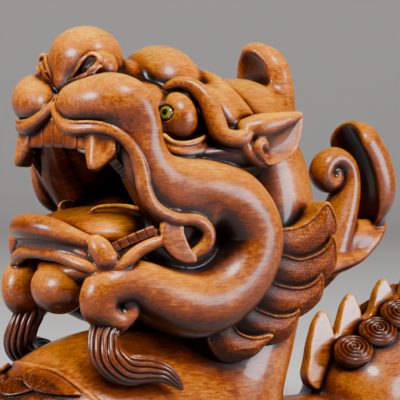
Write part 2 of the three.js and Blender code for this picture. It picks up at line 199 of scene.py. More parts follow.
EYEBALL = {"centre": (14.6, -20.6, 96.7), "radii": (7, 6.6, 7.9)}
SOCKET = {"centre": (19, -21, 96.6), "radii": (8.4, 7.8, 8.8)}
GLASS = {"aim": (3.4, -6.2, 2), "radius": 2.1, "proud": 0.6, "deep": 1.6, "bed": 0.2, "bevel": 0.2}
LOWER_LID = [
    (18.4, -27.3, 91.8, 0.8), (20.4, -25.6, 89.9, 0.9), (21.2, -21.6, 89.4, 1), (21, -16.8, 90.3, 0.9),
    (20.2, -13.8, 91.6, 0.7),
]
LID_POUCH = [
    (17.6, -27, 90, 1.3), (19.7, -24.9, 87.6, 1.9), (20.3, -20.4, 86.9, 2.2), (20.1, -15.2, 88.1, 1.9),
    (19.4, -12, 89.6, 1.3),
]
BROW = [
    (12.2, -23.7, 103.9, 1), (14, -22.6, 105.7, 1.3), (15.8, -19.7, 106.9, 1.9),
    (18, -16.1, 105.4, 2.5), (20.4, -13.3, 101.2, 3), (22.2, -11.9, 96.1, 3), (23.6, -10.6, 91.9, 2.9),
    (25, -6.8, 90.6, 2.8), (25.8, -3.7, 91.7, 2.4),
]
BROW_FOLD = [
    (3.6, -2, 107.2, 3.8), (8.6, -2.4, 105, 4.5), (13.6, -1.6, 100.8, 5), (18, 0, 95.8, 5),
    (21, 1.4, 91.6, 4.2), (23, 1.6, 89, 3),
]

BROW_VALLEY = [(12, -8, 103.4, 3), (16.4, -6.4, 99.8, 3.8), (19.6, -5, 95.4, 4), (21.6, -3, 91.4, 3.6)]
EAR_FACE = {
    "middle": (10, 90), "stands": 27.4, "turn": 0.12, "lean": 0.06, "hollow": 1.2, "rim": 6, "thick": 3.4,
}
EAR_ROLL = [
    (24.4, -2.6, 93.4, 3.2), (25.4, 2.2, 94.2, 3.8), (26, 8, 95.4, 3), (26.6, 12.6, 96.7, 1.9),
    (26.6, 16, 97.4, 1.2),
]
EAR_LEAF = [
    (-1, 90), (1.5, 91), (7.5, 93.4), (14.4, 96.4), (17.9, 98), (18.4, 95.7), (17.4, 92), (15.3, 87.6),
    (11, 84.8), (5.8, 83.2), (2.2, 83.6), (0.6, 86), (-1, 88),
]
EAR_LOBE = [
    (25, -3.4, 92.6, 2), (25.6, -4, 89.3, 2.2), (26, -1.8, 86, 2.1), (26.4, 2.4, 83.4, 1.4),
    (26.6, 5.4, 83, 0.6),
]
EAR_CURL = [
    (27.2, 2.6, 85.4, 1.1), (27.4, 0.4, 86, 1.5), (27.6, -0.8, 88.2, 1.8), (27.6, 0.8, 89.8, 1.7),
    (27.6, 2, 88.6, 1.5),
]

VALLEY = {"centre": (8.6, -27, 100.4), "radii": (7.4, 9, 6.6)}
TEMPLE = [(20.2, -15, 86, 2.6), (21.6, -8, 86.2, 3.6), (23, 0, 86.4, 4), (23.4, 6, 86.4, 3)]

HORN = [
    (0, 23.4, 92, 9), (0, 24.2, 100, 8.2), (0, 25, 106.4, 7.1), (0, 24.2, 112, 6.2),
    (0, 21.5, 116, 3.5),
]
HORN_SCOOP = {"centre": (0, 13.2, 107.4), "radii": (13.2, 9.2, 10.8)}
HORN_BREADTH = 1.5

# Mane lobes as side outlines of (y, z), from the ear down. The last one stands proud of the others.
MANE_LOBE = {
    "face": 21.2, "lean": 0.15, "rim": 0.3, "groove": 0.2, "swell": 1.3, "thick": 6.5, "proud": 1.6,
}
MANE = [
    [(8, 63.4), (14.6, 64.1), (18.8, 64.7), (23.4, 67.3), (26.4, 70.7), (28.2, 71.6), (30.3, 69.2),
     (32, 65.8), (32.2, 62.4), (30.2, 57.9), (25.8, 53.9), (19.7, 52.6), (8, 53.8)],
    [(6, 57.2), (13.1, 56.6), (19.2, 55), (25.4, 56.5), (28.6, 59.2), (30.2, 61.6), (31.5, 59.1),
     (32.4, 54.7), (32.1, 51.3), (29, 47.7), (23.1, 44.7), (16.2, 44.5), (6, 46)],
    [(2, 50), (7.9, 49.1), (13, 47.4), (19, 46.5), (23.4, 47.6), (26.6, 50), (27.6, 45.9), (27.1, 42.2),
     (22.5, 38.2), (16.3, 36.2), (9.4, 36.8), (2, 41)],
    [(-4, 43.6), (1.3, 42.5), (5.5, 40.4), (11.4, 38.5), (16.5, 38.6), (18.9, 39.8), (18.9, 37.1),
     (17.5, 33.1), (15.7, 30.8), (9.7, 29.3), (4, 30), (-4, 35)],
    [(-12.9, 37.2), (-6, 37.6), (-2.7, 34.5), (2.4, 32.7), (8.8, 33), (6.3, 29.5), (3.7, 27.1),
     (-0.1, 25.8), (-5.2, 25.2), (-9.5, 27.2), (-13.5, 32.4)],
]
MANE_ROOT = [(13, 3, 64, 8), (13.4, 4, 48, 8.4), (13, -4, 37, 6.6)]

NAPE_VOLUTE = [
    (0, 26, 46, 7), (0, 42, 47, 6.6), (0, 50, 53, 6.2), (0, 54, 61, 5.8), (0, 57.4, 69, 4.9),
    (0, 59.1, 75.4, 4.1), (0, 58.2, 80.8, 3.7), (0, 54, 83.4, 3.6), (0, 49.8, 82, 3.6),
    (0, 48.2, 78.6, 3.5), (0, 50.4, 75.8, 3.2), (0, 53.4, 76.4, 2.8), (0, 54, 78.8, 2.3),
    (0, 52.6, 79.8, 1.9),
]
NAPE_CUP = [
    (0, 66.6, 67, 6.8), (0, 68, 71, 7.9), (0, 68, 76, 8.3), (0, 65.6, 82.8, 8.1), (0, 62.6, 87.6, 7.7),
]
NAPE_HOLLOW = [
    (0, 60.2, 63, 6), (0, 62.4, 66, 7), (0, 62.8, 70, 7.5), (0, 62, 76, 7.5), (0, 58.8, 83, 7.2),
    (0, 55.4, 88.4, 6.6),
]
NAPE_SHEATH = [
    (0, 36, 48, 4.4), (0, 48.5, 50.2, 3.8), (0, 55.4, 51.2, 3.4), (0, 61.8, 53.2, 2.9),
    (0, 67.6, 57.2, 2.4), (0, 71.6, 61.6, 1.7),
]
NAPE_WEB = [
    (0, 40, 48, 6.4), (0, 49.6, 52.7, 6), (0, 57, 57, 5.6), (0, 62.4, 58.4, 5.2), (0, 68, 59.6, 4.1),
    (0, 71.4, 61.4, 2.6),
]

BEARD = [
    (19.2, -49, 42, 4.2), (19.4, -47.7, 40.3, 4.2), (20, -49.8, 36.1, 4.4), (22.4, -50, 31, 4.8),
    (25.2, -46.4, 27.7, 4.6), (27.4, -40.5, 27.4, 3.9), (28.8, -36.3, 26.5, 3.2),
    (29.4, -32.7, 24.1, 2.1), (29.6, -29.5, 21.2, 0.8),
]

# Gum lines along which rows of teeth stand
UPPER_TEETH = [
    (-13.4, -50.4, 92.4, 1), (-7, -51.4, 92.8, 1), (0, -51.6, 93, 1), (7, -51.4, 92.8, 1),
    (13.4, -50.4, 92.4, 1),
]
UPPER_BACK_TEETH = [(20.6, -45.8, 84.6, 1), (21.6, -42.6, 81, 1)]
LOWER_BACK_TEETH = [
    (22.8, -47.9, 61.4, 1), (23.9, -44.6, 62.9, 1), (24.8, -41.2, 64.2, 1), (25.6, -37.6, 65.4, 1),
]

# Leaves of the breastplate, each (root x, root z, tip x, tip z, breadth)
LEAF_DEPTH = 0.7
LEAVES = [
    (0.4, 22.4, 11.4, 22, 7.4), (6, 25.6, 20.6, 20.8, 8), (15.4, 19.2, 27, 9, 8),
    (5.4, 17.2, 17.6, 13.8, 8), (0.4, 13.4, 10, 11.8, 8), (15, 10.6, 25.4, 4.4, 7),
    (6, 7.6, 16.4, 4.6, 6),
]

# The block that each piece is carved from, which is its left half: two corners, how coarse its cells are
# beside the finest cut, and how many triangles it is thinned to
BLOCKS = {
    "trunk": ((0, -92, -1), (37, 100, 96), 1.4, 110000),
    "fin_comb": ((0, 38, 2), (5, 100, 52), 1.4 * 0.6, 50000),
    "head": ((0, -72, 32), (37, 38, 127), 1, 199000),
    "mane": ((0, -18, 22), (37, 38, 80), 0.85, 160000),
    "nape_lock": ((0, 20, 34), (22, 88, 102), 0.86, 110000),
    "beard": ((0, -62, 16), (37, -20, 50), 1, 50000),
}
BEARD_CORE = 0.8
LENS_SIDES = 64

WOOD_SLOT = "carved_boxwood"
GLASS_SLOT = "eye_glass"
# Each wood: how much darker it is, partly a stain and partly painted light and shade (lighter on the lit
# trunk and fin comb, darker on the shaded teeth and beard), how strongly it is stippled, its coat of wax,
# how much stain and painted shade gather in its hollows, and how much painted light its upper sides take
WOODS = {
    "waxed boxwood": (0, 0, 0.14, 1, 1),
    "body boxwood": (-0.09, 0, 0.3, 0.65, 0.1),
    "dark boxwood": (0.2, 0, 0.28, 1, 0.5),
    "gum boxwood": (0.26, 0, 0.2, 1, 0.3),
    "lock boxwood": (0.04, 0, 0.24, 0.3, 0.9),
    "rubbed boxwood": (-0.06, 0, 0.9, 0.3, 0.6),
    "stippled boxwood": (0.1, 0.5, 0, 0.7, 0.8),
    "tooled boxwood": (0.12, 0.05, 0.1, 1, 0.2),
}
MOUTH_SHADE = {"centre": MOUTH["centre"], "radii": (21, 30, 16)}
PLATE_STIPPLE = 0.45
# The shelter reach finds overhangs, under which shade is painted
PATINA_AND_SHADE_REACH = {"crease": 0.8, "hollow": 3.5, "shelter": 9}
PATINA_AND_SHADE_CELL = 0.5
PATINA_AND_SHADE_ROOM = 8
# How fine each part of the grain is, and how strongly it shows in the stain
GRAIN = {"blotch": (90, 0.26), "mottle": (420, 0.16), "fibre": (1500, 0.36), "pores": (3200, 0.2)}
STIPPLE_SCALE = 3300
GLOSS = 0.24
# The rings of a glass eye from its middle out, as shares of its radius. The dark outer rings paint the
# shadow at the glass's edge, and the iris colours are dimmed as painted shade
GLASS_RINGS = [
    (0.0, (0.002, 0.002, 0.002)), (0.4, (0.002, 0.002, 0.002)), (0.46, (0.2, 0.18, 0.012)),
    (0.7, (0.26, 0.26, 0.02)), (0.9, (0.06, 0.05, 0.008)), (1.0, (0.01, 0.006, 0.002)),
]

# Studio lengths are in metres. A soft box is (azimuth, elevation, distance, breadth, height), its angles
# in degrees. The azimuths of the key and the left box count from the camera's, and the side box's from
# the face.
SIDE_BOX = (128, 4, 0.78, 0.4, 0.5)
SIDE_TINT = (0.95, 0.92, 1)
KEY = (35, 50, 0.9, 0.3, 0.3)
LEFT_BOX = (-60, 20, 0.9, 0.32, 0.32)
AIM_HEIGHT = 0.072
FLOOR_COLOUR = (0.52, 0.5, 0.48, 1)
AIR_COLOUR = (0.8, 0.8, 0.85, 1)
# The floor's half breadth, how far it reaches in front and behind, the bend up to the wall, and its height
FLOOR = {"side": 3, "front": -3, "back": 0.9, "bend": 0.6, "top": 3}


# Carving: a block of wood held as distances to its surface, which forms are joined to and cut from.
def curve(knots, steps):
    """Rows along a Catmull-Rom curve through the knots, all but the first and the last two."""
    share = (np.arange(steps) / steps)[:, None]
    rows = []
    for before, start, stop, after in zip(knots[:-3], knots[1:-2], knots[2:-1], knots[3:]):
        slope, bend = stop - before, 2 * before - 5 * start + 4 * stop - after
        rows.append(0.5 * (2 * start + slope * share + bend * share ** 2
                           + (3 * start - before - 3 * stop + after) * share ** 3))
    return np.vstack(rows)


def smooth_path(places, steps=8):
    """Places along a smooth curve through the given ones, with their radii."""
    ends = np.array(places, float)
    knots = np.vstack([2 * ends[0] - ends[1], ends, 2 * ends[-1] - ends[-2]])
    path = np.vstack([curve(knots, steps), ends[-1:]])
    path[:, 3] = np.maximum(path[:, 3], 0.2)
    return path


def across(places):
    """The places of a form that crosses the middle plane, from those on the left of it."""
    return [(-x, y, z, radius) for x, y, z, radius in reversed(places[1:])] + list(places)


def unit(vector):
    vector = np.array(vector, float)
    return vector / np.linalg.norm(vector)


def soft_min(a, b, blend):
    share = np.clip(0.5 + 0.5 * (b - a) / blend, 0, 1)
    return b + (a - b) * share - blend * share * (1 - share)


def soft_max(a, b, blend):
    return -soft_min(-a, -b, blend)


def ramp(value, start, stop):
    share = np.clip((value - start) / (stop - start), 0, 1)
    return share * share * (3 - 2 * share)


class Block:
    """The left half of a block, as distances in millimetres to the surface carved so far."""

    def __init__(self, low, high, cell):
        self.low = np.array(low, float)
        self.cell = cell
        counts = np.ceil((np.array(high) - self.low) / cell).astype(int) + 1
        self.axes = [(self.low[i] + cell * np.arange(counts[i])).astype(np.float32) for i in range(3)]
        self.gap = np.full(counts, FAR, np.float32)

    def window(self, low, high):
        first = np.floor((np.array(low) - self.low) / self.cell).astype(int)
        last = np.ceil((np.array(high) - self.low) / self.cell).astype(int) + 1
        sizes = self.gap.shape
        return tuple(slice(min(max(a, 0), n), max(min(b, n), 0)) for a, b, n in zip(first, last, sizes))

    def points(self, window):
        x, y, z = (axis[part] for axis, part in zip(self.axes, window))
        return x[:, None, None], y[None, :, None], z[None, None, :]

    def ball_gap(self, ball, reach):
        """Distances to a ball with three radii."""
        centre, radii = np.array(ball["centre"]), ball["radii"]
        spread = np.array(radii) + reach
        window = self.window(centre - spread, centre + spread)
        x, y, z = (axis - middle for axis, middle in zip(self.points(window), centre))
        far = np.sqrt((x / radii[0]) ** 2 + (y / radii[1]) ** 2 + (z / radii[2]) ** 2)
        steep = np.sqrt((x / radii[0] ** 2) ** 2 + (y / radii[1] ** 2) ** 2 + (z / radii[2] ** 2) ** 2)
        return window, (far * (far - 1) / np.maximum(steep, 1e-6)).astype(np.float32)

    def roll_gap(self, places, reach, deep=1.0):
        """Distances to a roll. Its section is deep times as thick across the middle plane as along it."""
        path = smooth_path(places)
        margin = np.max(path[:, 3]) * deep + reach
        window = self.window(path[:, :3].min(0) - margin, path[:, :3].max(0) + margin)
        gap = np.full(self.gap[window].shape, FAR, np.float32)
        squeezed = path[:, :3] / (deep, 1, 1)
        for i in range(len(path) - 1):
            margin = max(path[i, 3], path[i + 1, 3]) * deep + reach
            near = self.window(np.minimum(path[i, :3], path[i + 1, :3]) - margin,
                               np.maximum(path[i, :3], path[i + 1, :3]) + margin)
            x, y, z = self.points(near)
            start, along = squeezed[i], squeezed[i + 1] - squeezed[i]
            x, y, z = x / deep - start[0], y - start[1], z - start[2]
            run = x * along[0] + y * along[1] + z * along[2]
            t = np.clip(run / max(float(along @ along), 1e-9), 0, 1)
            x, y, z = x - along[0] * t, y - along[1] * t, z - along[2] * t
            radius = path[i, 3] + (path[i + 1, 3] - path[i, 3]) * t
            far = np.sqrt(x * x + y * y + z * z) - radius
            here = tuple(slice(part.start - w.start, part.stop - w.start) for part, w in zip(near, window))
            np.minimum(gap[here], far, out=gap[here])
        return window, gap

    def plate_gap(self, places, reach, thick, facing, blend=0.4):
        """Distances to a flat plate that faces one way, as broad as the radii along its path."""
        path = smooth_path(places)
        margin = np.max(path[:, 3]) + reach
        window = self.window(path[:, :3].min(0) - margin, path[:, :3].max(0) + margin)
        x, y, z = self.points(window)
        out = unit(facing)
        edge = np.full(self.gap[window].shape, 1e6, np.float32)
        rise = np.zeros(edge.shape, np.float32)
        for i in range(len(path) - 1):
            start, along = path[i, :3], path[i + 1, :3] - path[i, :3]
            flat = along - out * (along @ out)
            run = (x - start[0]) * flat[0] + (y - start[1]) * flat[1] + (z - start[2]) * flat[2]
            t = np.clip(run / float(flat @ flat), 0, 1)
            dx, dy, dz = (axis - start[k] - along[k] * t for k, axis in enumerate((x, y, z)))
            height = dx * out[0] + dy * out[1] + dz * out[2]
            radius = path[i, 3] + (path[i + 1, 3] - path[i, 3]) * t
            aside = np.sqrt(np.maximum(dx * dx + dy * dy + dz * dz - height * height, 0)) - radius
            closer = aside < edge
            edge = np.where(closer, aside, edge)
            rise = np.where(closer, height, rise)
        return window, soft_max(edge, np.abs(rise) - thick / 2, blend).astype(np.float32)

    def comb_gap(self, comb):
        """Distances to a plate on the middle plane whose outline is a row of tongues on a web."""
        window = tuple(slice(0, size) for size in self.gap.shape)
        x, y, z = self.points(window)
        outline = np.full((y.shape[1], z.shape[2]), FAR, np.float32)
        tongues = [[(tip_y + dy, tip_z + dz, radius) for dy, dz, radius in comb["tongue"]]
                   for tip_y, tip_z in comb["tips"]]
        for path in [*tongues, comb["web"]]:
            for (ya, za, ra), (yb, zb, rb) in zip(path[:-1], path[1:]):
                dy, dz = y[0] - ya, z[0] - za
                run = dy * (yb - ya) + dz * (zb - za)
                t = np.clip(run / ((yb - ya) ** 2 + (zb - za) ** 2), 0, 1)
                far = np.hypot(dy - (yb - ya) * t, dz - (zb - za) * t) - ra - (rb - ra) * t
                outline = soft_min(outline, far, 1.6)
        start = comb["web"][0]
        rise = z - start[1] - comb["web_slope"] * (y - start[0])
        half = comb["thick"] / 2 - comb["taper"] * np.maximum(rise, 0)
        return window, soft_max(outline[None], np.abs(x) - half, 0.8).astype(np.float32)

    def leaf_gap(self, outline, face, thick, blend=0.4):
        """Distances to a leaf of that thickness with a closed side outline of (y, z) places.

        The face gives its x from y, z and the distance to the edge.
        """
        ends = np.array(outline, float)
        path = curve(np.vstack([ends[-1:], ends, ends[:2]]), 5)
        low, high = path.min(0) - 4, path.max(0) + 4
        window = self.window((0, *low), (99, *high))
        x, y, z = self.points(window)
        nearest = np.full((y.shape[1], z.shape[2]), 1e6, np.float32)
        inside = np.zeros(nearest.shape, bool)
        for (ya, za), (yb, zb) in zip(path, np.roll(path, -1, axis=0)):
            dy, dz = y[0] - ya, z[0] - za
            run = dy * (yb - ya) + dz * (zb - za)
            t = np.clip(run / max((yb - ya) ** 2 + (zb - za) ** 2, 1e-9), 0, 1)
            nearest = np.minimum(nearest, np.hypot(dy - (yb - ya) * t, dz - (zb - za) * t))
            if za != zb:
                inside ^= ((za > z[0]) != (zb > z[0])) & (dy < (yb - ya) * dz / (zb - za))
        edge = np.where(inside, -nearest, nearest)
        middle = face(y[0], z[0], -edge) - thick / 2
        return window, soft_max(edge[None], np.abs(x - middle[None]) - thick / 2, blend).astype(np.float32)

    def faceted(self, form, middle, sides, blend=0.8):
        """A form cut flat on some sides, each (the way it faces, its distance from the middle)."""
        window, gap = form
        x, y, z = (axis - place for axis, place in zip(self.points(window), middle))
        for facing, distance in sides:
            out = unit(facing)
            gap = soft_max(gap, x * out[0] + y * out[1] + z * out[2] - distance, blend)
        return window, gap.astype(np.float32)

    def join(self, form, blend):
        window, gap = form
        here = self.gap[window]
        self.gap[window] = soft_min(here, gap, blend)

    def cut(self, form, blend):
        window, gap = form
        self.gap[window] = soft_max(self.gap[window], -gap, blend)

    def add_ball(self, ball, blend=0.4):
        self.join(self.ball_gap(ball, blend + 3), blend)

    def add_roll(self, places, blend=0.4, **section):
        self.join(self.roll_gap(places, blend + 3, **section), blend)

    def add_plate(self, places, thick, facing, blend=0.3):
        self.join(self.plate_gap(places, blend + 3, thick, facing), blend)

    def cut_ball(self, ball, blend=0.4):
        self.cut(self.ball_gap(ball, blend + 3), blend)

    def cut_roll(self, places, blend=0.4, **section):
        self.cut(self.roll_gap(places, blend + 3, **section), blend)

    def whole(self, values):
        """Both halves of such values as one array, and its lowest corner."""
        low = self.low.copy()
        low[0] = -self.cell * (self.gap.shape[0] - 1)
        return np.concatenate([values[:0:-1], values]), low


def chest_place(x, z):
    """The place on the front of the chest over that x and z, and the way the chest faces there."""
    centre, radii = np.array(CHEST["centre"]), np.array(CHEST["radii"])
    side, up = (x - centre[0]) / radii[0], (z - centre[2]) / radii[2]
    y = centre[1] - radii[1] * math.sqrt(1 - side * side - up * up)
    place = np.array((x, y, z))
    return place, unit((place - centre) / radii ** 2)


def plate_rim():
    """The rim of the breastplate, a fine roll half sunk in the chest."""
    path = smooth_path([(x, 0, z, PLATE_RIM_RADIUS) for x, z in PLATE_RIM])
    return [(*chest_place(x, z)[0], radius) for x, y, z, radius in path]


def carve_trunk(block):
    block.add_ball(CHEST)
    block.add_roll(BASE, 6)
    block.add_roll(BACK, 4)
    block.add_roll(NECK, 7)
    block.add_roll(MANE_ROOT, 3)
    block.add_roll(across(plate_rim()), 0.3)


def carve_fins(block):
    block.join(block.comb_gap(FINS), 0.6)


def carve_skull(block):
    block.add_roll(HORN, deep=HORN_BREADTH)
    block.cut_ball(HORN_SCOOP, 1)
    block.add_ball(CROWN, 2.5)
    block.add_ball(SKULL, 3)
    block.add_ball(MUZZLE, 2)
    block.add_ball(JAW, 1)
    block.cut_ball(MOUTH, 1.5)
    block.cut_ball(SOCKET, 1)
    block.add_ball(DOME, 1)
    block.add_ball(BRIDGE, 2)
    block.add_ball(VALLEY, 1.5)
    block.add_roll(TEMPLE, 1.5)


def carve_face(block):
    block.add_ball(NOSE, 0.6)
    block.add_roll(NOSE_POINT, 1.5)
    block.add_ball(NOSE_WING, 1.6)
    block.add_ball(CHIN_BULB, 0.5)
    block.add_ball(CHEEK_WEB, 1)
    block.add_roll(CHEEK_LINING, 1)
    block.add_roll(CHEEK_ROLL, 0.5)
    block.add_roll(CHEEK_INNER, 4)
    block.add_roll(LIP_BACK, 0.6)
    block.add_roll(LIP_LINE, 0.4)
    block.add_roll(across(UPPER_LIP), 0.35)
    block.add_roll(across(LOWER_LIP), 0.35)
    block.add_roll(across(LOWER_LIP_EDGE), 0.3)
    block.add_roll(NOSTRIL_RIM, 0.4)
    block.add_roll(NOSTRIL_FOLD, 0.3)
    block.cut_roll(NOSTRIL_SLOT, 0.3)
    block.add_plate(CORNER_TAB, CORNER_TAB_THICK, CORNER_TAB_FACING)


def carve_mouth(block):
    block.join(block.faceted(block.roll_gap(UPPER_FANG, 4), UPPER_FANG[1][:3], FANG_SIDES, 1.1), 0.4)
    block.add_ball(TONGUE, 1)
    block.add_roll(TONGUE_EDGE, 0.8)
    block.add_roll(across(TONGUE_TIP), 1)
    block.add_roll(GUM, 0.5)
    block.add_roll(across(FRONT_GUM), 1)
    block.add_roll(LOWER_FANG, 0.4)


def carve_eyes(block):
    block.add_ball(EYEBALL, 0.3)
    block.add_roll(LID_POUCH, 0.4)
    block.add_roll(LOWER_LID, 0.35)
    block.add_roll(BROW, 0.5)
    block.add_roll(BROW_VALLEY, 1.5)
    block.add_roll(BROW_FOLD, 3)
    place, aim = glass_place()
    radius = GLASS["radius"] + GLASS["bed"]
    pocket = [(*(place - aim * GLASS["deep"]), radius), (*(place + aim), radius)]
    block.cut_roll(pocket, 0.2)


def ear_face(y, z, depth):
    """The face of the ear: hollow like a spoon, and turned a little forward."""
    inward = np.clip(depth / EAR_FACE["rim"], 0, 1)
    back, up = y - EAR_FACE["middle"][0], z - EAR_FACE["middle"][1]
    flat = EAR_FACE["stands"] - EAR_FACE["turn"] * back - EAR_FACE["lean"] * up
    return flat - EAR_FACE["hollow"] * inward * (2 - inward)


def carve_ears(block):
    block.join(block.leaf_gap(EAR_LEAF, ear_face, EAR_FACE["thick"]), 0.4)
    block.add_roll(EAR_LOBE, 1)
    block.add_roll(EAR_ROLL, 0.5)
    block.add_roll(EAR_CURL, 0.4)


def mane_face(middle, proud):
    """The face of a lobe: it leans out above its middle height, swells, and its upper edge has a rim."""
    def face(y, z, depth):
        upper = ramp(z, middle - 1, middle + 2)
        rim = MANE_LOBE["rim"] * ramp(depth, 0.9, 0.6)
        groove = MANE_LOBE["groove"] * np.exp(-((depth - 1.2) / 0.3) ** 2)
        lean = MANE_LOBE["lean"] * (y - 5) + MANE_LOBE["lean"] * (z - middle)
        swell = MANE_LOBE["swell"] * ramp(depth, -1, 5)
        return MANE_LOBE["face"] + proud + lean + upper * (rim - groove) + swell
    return face


def carve_mane(block):
    for lobe in MANE:
        middle = sum(z for y, z in lobe) / len(lobe)
        proud = MANE_LOBE["proud"] if lobe is MANE[-1] else 0
        block.join(block.leaf_gap(lobe, mane_face(middle, proud), MANE_LOBE["thick"]), 0.25)


def carve_nape(block):
    block.add_roll(NAPE_CUP, deep=1.2)
    block.cut_roll(NAPE_HOLLOW, 2, deep=1.12)
    block.add_roll(NAPE_WEB, 0.4, deep=1.15)
    block.add_roll(NAPE_SHEATH, 3, deep=2.5)
    block.add_roll(NAPE_VOLUTE, 0.6, deep=1.2)


def carve_beard(block):
    block.add_roll([(x, y, z, BEARD_CORE * radius) for x, y, z, radius in BEARD], 0.5)


def glass_place():
    """Where a glass eye meets the wooden eyeball, and the way it looks."""
    aim = unit(GLASS["aim"])
    return np.array(EYEBALL["centre"]) + aim * np.linalg.norm(aim * EYEBALL["radii"]), aim


# Meshes
def surface(block):
    """Points in millimetres and faces of the carved surface."""
    block.gap[:, :, block.axes[2] < 0] = FAR
    both, low = block.whole(block.gap)
    limit = 3 * block.cell
    grid = openvdb.FloatGrid(limit)
    grid.copyFromArray(np.ascontiguousarray(np.clip(both, -limit, limit)))
    points, triangles, quads = grid.convertToPolygons(isovalue=0.0, adaptivity=0.0)
    return points * block.cell + low, triangles, quads


def new_object(name, data):
    piece = bpy.data.objects.new(name, data)
    bpy.context.collection.objects.link(piece)
    return piece


def mesh_object(name, places, triangles, quads):
    """A new object at the origin with these faces, their corners in millimetres."""
    mesh = bpy.data.meshes.new(name)
    corners = np.concatenate([quads.ravel(), triangles.ravel()]).astype(np.int32)
    starts = np.concatenate([np.arange(len(quads)) * 4, len(quads) * 4 + np.arange(len(triangles)) * 3])
    mesh.vertices.add(len(places))
    mesh.vertices.foreach_set("co", ((places + SHIFT) * MM).astype(np.float32).ravel())
    mesh.loops.add(len(corners))
    mesh.loops.foreach_set("vertex_index", corners)
    mesh.polygons.add(len(starts))
    mesh.polygons.foreach_set("loop_start", starts.astype(np.int32))
    mesh.update(calc_edges=True)
    mesh.validate()
    return new_object(name, mesh)


def finished(piece):
    """The piece with its modifiers made part of its mesh."""
    graph = bpy.context.evaluated_depsgraph_get()
    mesh = bpy.data.meshes.new_from_object(piece.evaluated_get(graph))
    plain = bpy.data.objects.new(piece.name + "_plain", mesh)
    name = piece.name
    bpy.data.objects.remove(piece)
    plain.name = mesh.name = name
    bpy.context.collection.objects.link(plain)
    mesh.shade_smooth()
    return plain


def carved(name, finest, carvers):
    """A piece carved from its block, in cells of that finest cut in millimetres, and thinned."""
    low, high, share, triangles = BLOCKS[name]
    block = Block(low, high, finest * share * (1))
    for carve in carvers:
        carve(block)
    places, corners, quads = surface(block)
    piece = mesh_object(name, places, corners, quads)
    count = len(corners) + 2 * len(quads)
    if count > triangles:
        piece.modifiers.new("Thin", "DECIMATE").ratio = triangles / count
    return finished(piece)


# Trees of nodes
def linked(nodes, kind, inputs=None, **settings):
    """A new node with these settings. An input takes a value, or another node's output."""
    node = nodes.new(kind)
    for name, value in settings.items():
        setattr(node, name, value)
    for name, value in (inputs or {}).items():
        socket = node.inputs[name]
        if isinstance(value, bpy.types.NodeSocket):
            node.id_data.links.new(value, socket)
        else:
            socket.default_value = value
    return node


def new_tree(name, sizes):
    """A geometry tree with a named input for each size, and its two end nodes."""
    tree = bpy.data.node_groups.new(name, "GeometryNodeTree")
    tree.interface.new_socket("Geometry", in_out="INPUT", socket_type="NodeSocketGeometry")
    tree.interface.new_socket("Geometry", in_out="OUTPUT", socket_type="NodeSocketGeometry")
    for label, kind in sizes.items():
        tree.interface.new_socket(label, in_out="INPUT", socket_type="NodeSocket" + kind)
    return tree, tree.nodes.new("NodeGroupInput").outputs, tree.nodes.new("NodeGroupOutput").inputs


def close_tree(tree, geometry, outlet):
    """Ends a tree in real faces that wear the wood."""
    real = linked(tree.nodes, "GeometryNodeRealizeInstances", {"Geometry": geometry})
    smooth = linked(tree.nodes, "GeometryNodeSetShadeSmooth", {"Geometry": real.outputs[0]})
    worn = linked(tree.nodes, "GeometryNodeSetMaterial",
                  {"Geometry": smooth.outputs[0], "Material": wood()})
    tree.links.new(worn.outputs[0], outlet["Geometry"])


def maths(tree, operation, *values):
    return linked(tree.nodes, "ShaderNodeMath", dict(enumerate(values)), operation=operation).outputs[0]


def vector_maths(tree, operation, *values):
    inputs = dict(enumerate(values))
    return linked(tree.nodes, "ShaderNodeVectorMath", inputs, operation=operation).outputs[0]


def scaled(tree, vector, amount):
    inputs = {0: vector, "Scale": amount}
    return linked(tree.nodes, "ShaderNodeVectorMath", inputs, operation="SCALE").outputs[0]


def dot(tree, one, other):
    inputs = {0: one, 1: other}
    return linked(tree.nodes, "ShaderNodeVectorMath", inputs, operation="DOT_PRODUCT").outputs["Value"]


def stored(nodes, geometry, name, value, kind="FLOAT_VECTOR"):
    """The geometry with a value kept on its points under a name."""
    inputs = {"Geometry": geometry, "Name": name, "Value": value}
    return linked(nodes, "GeometryNodeStoreNamedAttribute", inputs, data_type=kind).outputs[0]


def known(nodes, name):
    """A vector that the points keep under a name."""
    kept = linked(nodes, "GeometryNodeInputNamedAttribute", {"Name": name}, data_type="FLOAT_VECTOR")
    return kept.outputs[0]


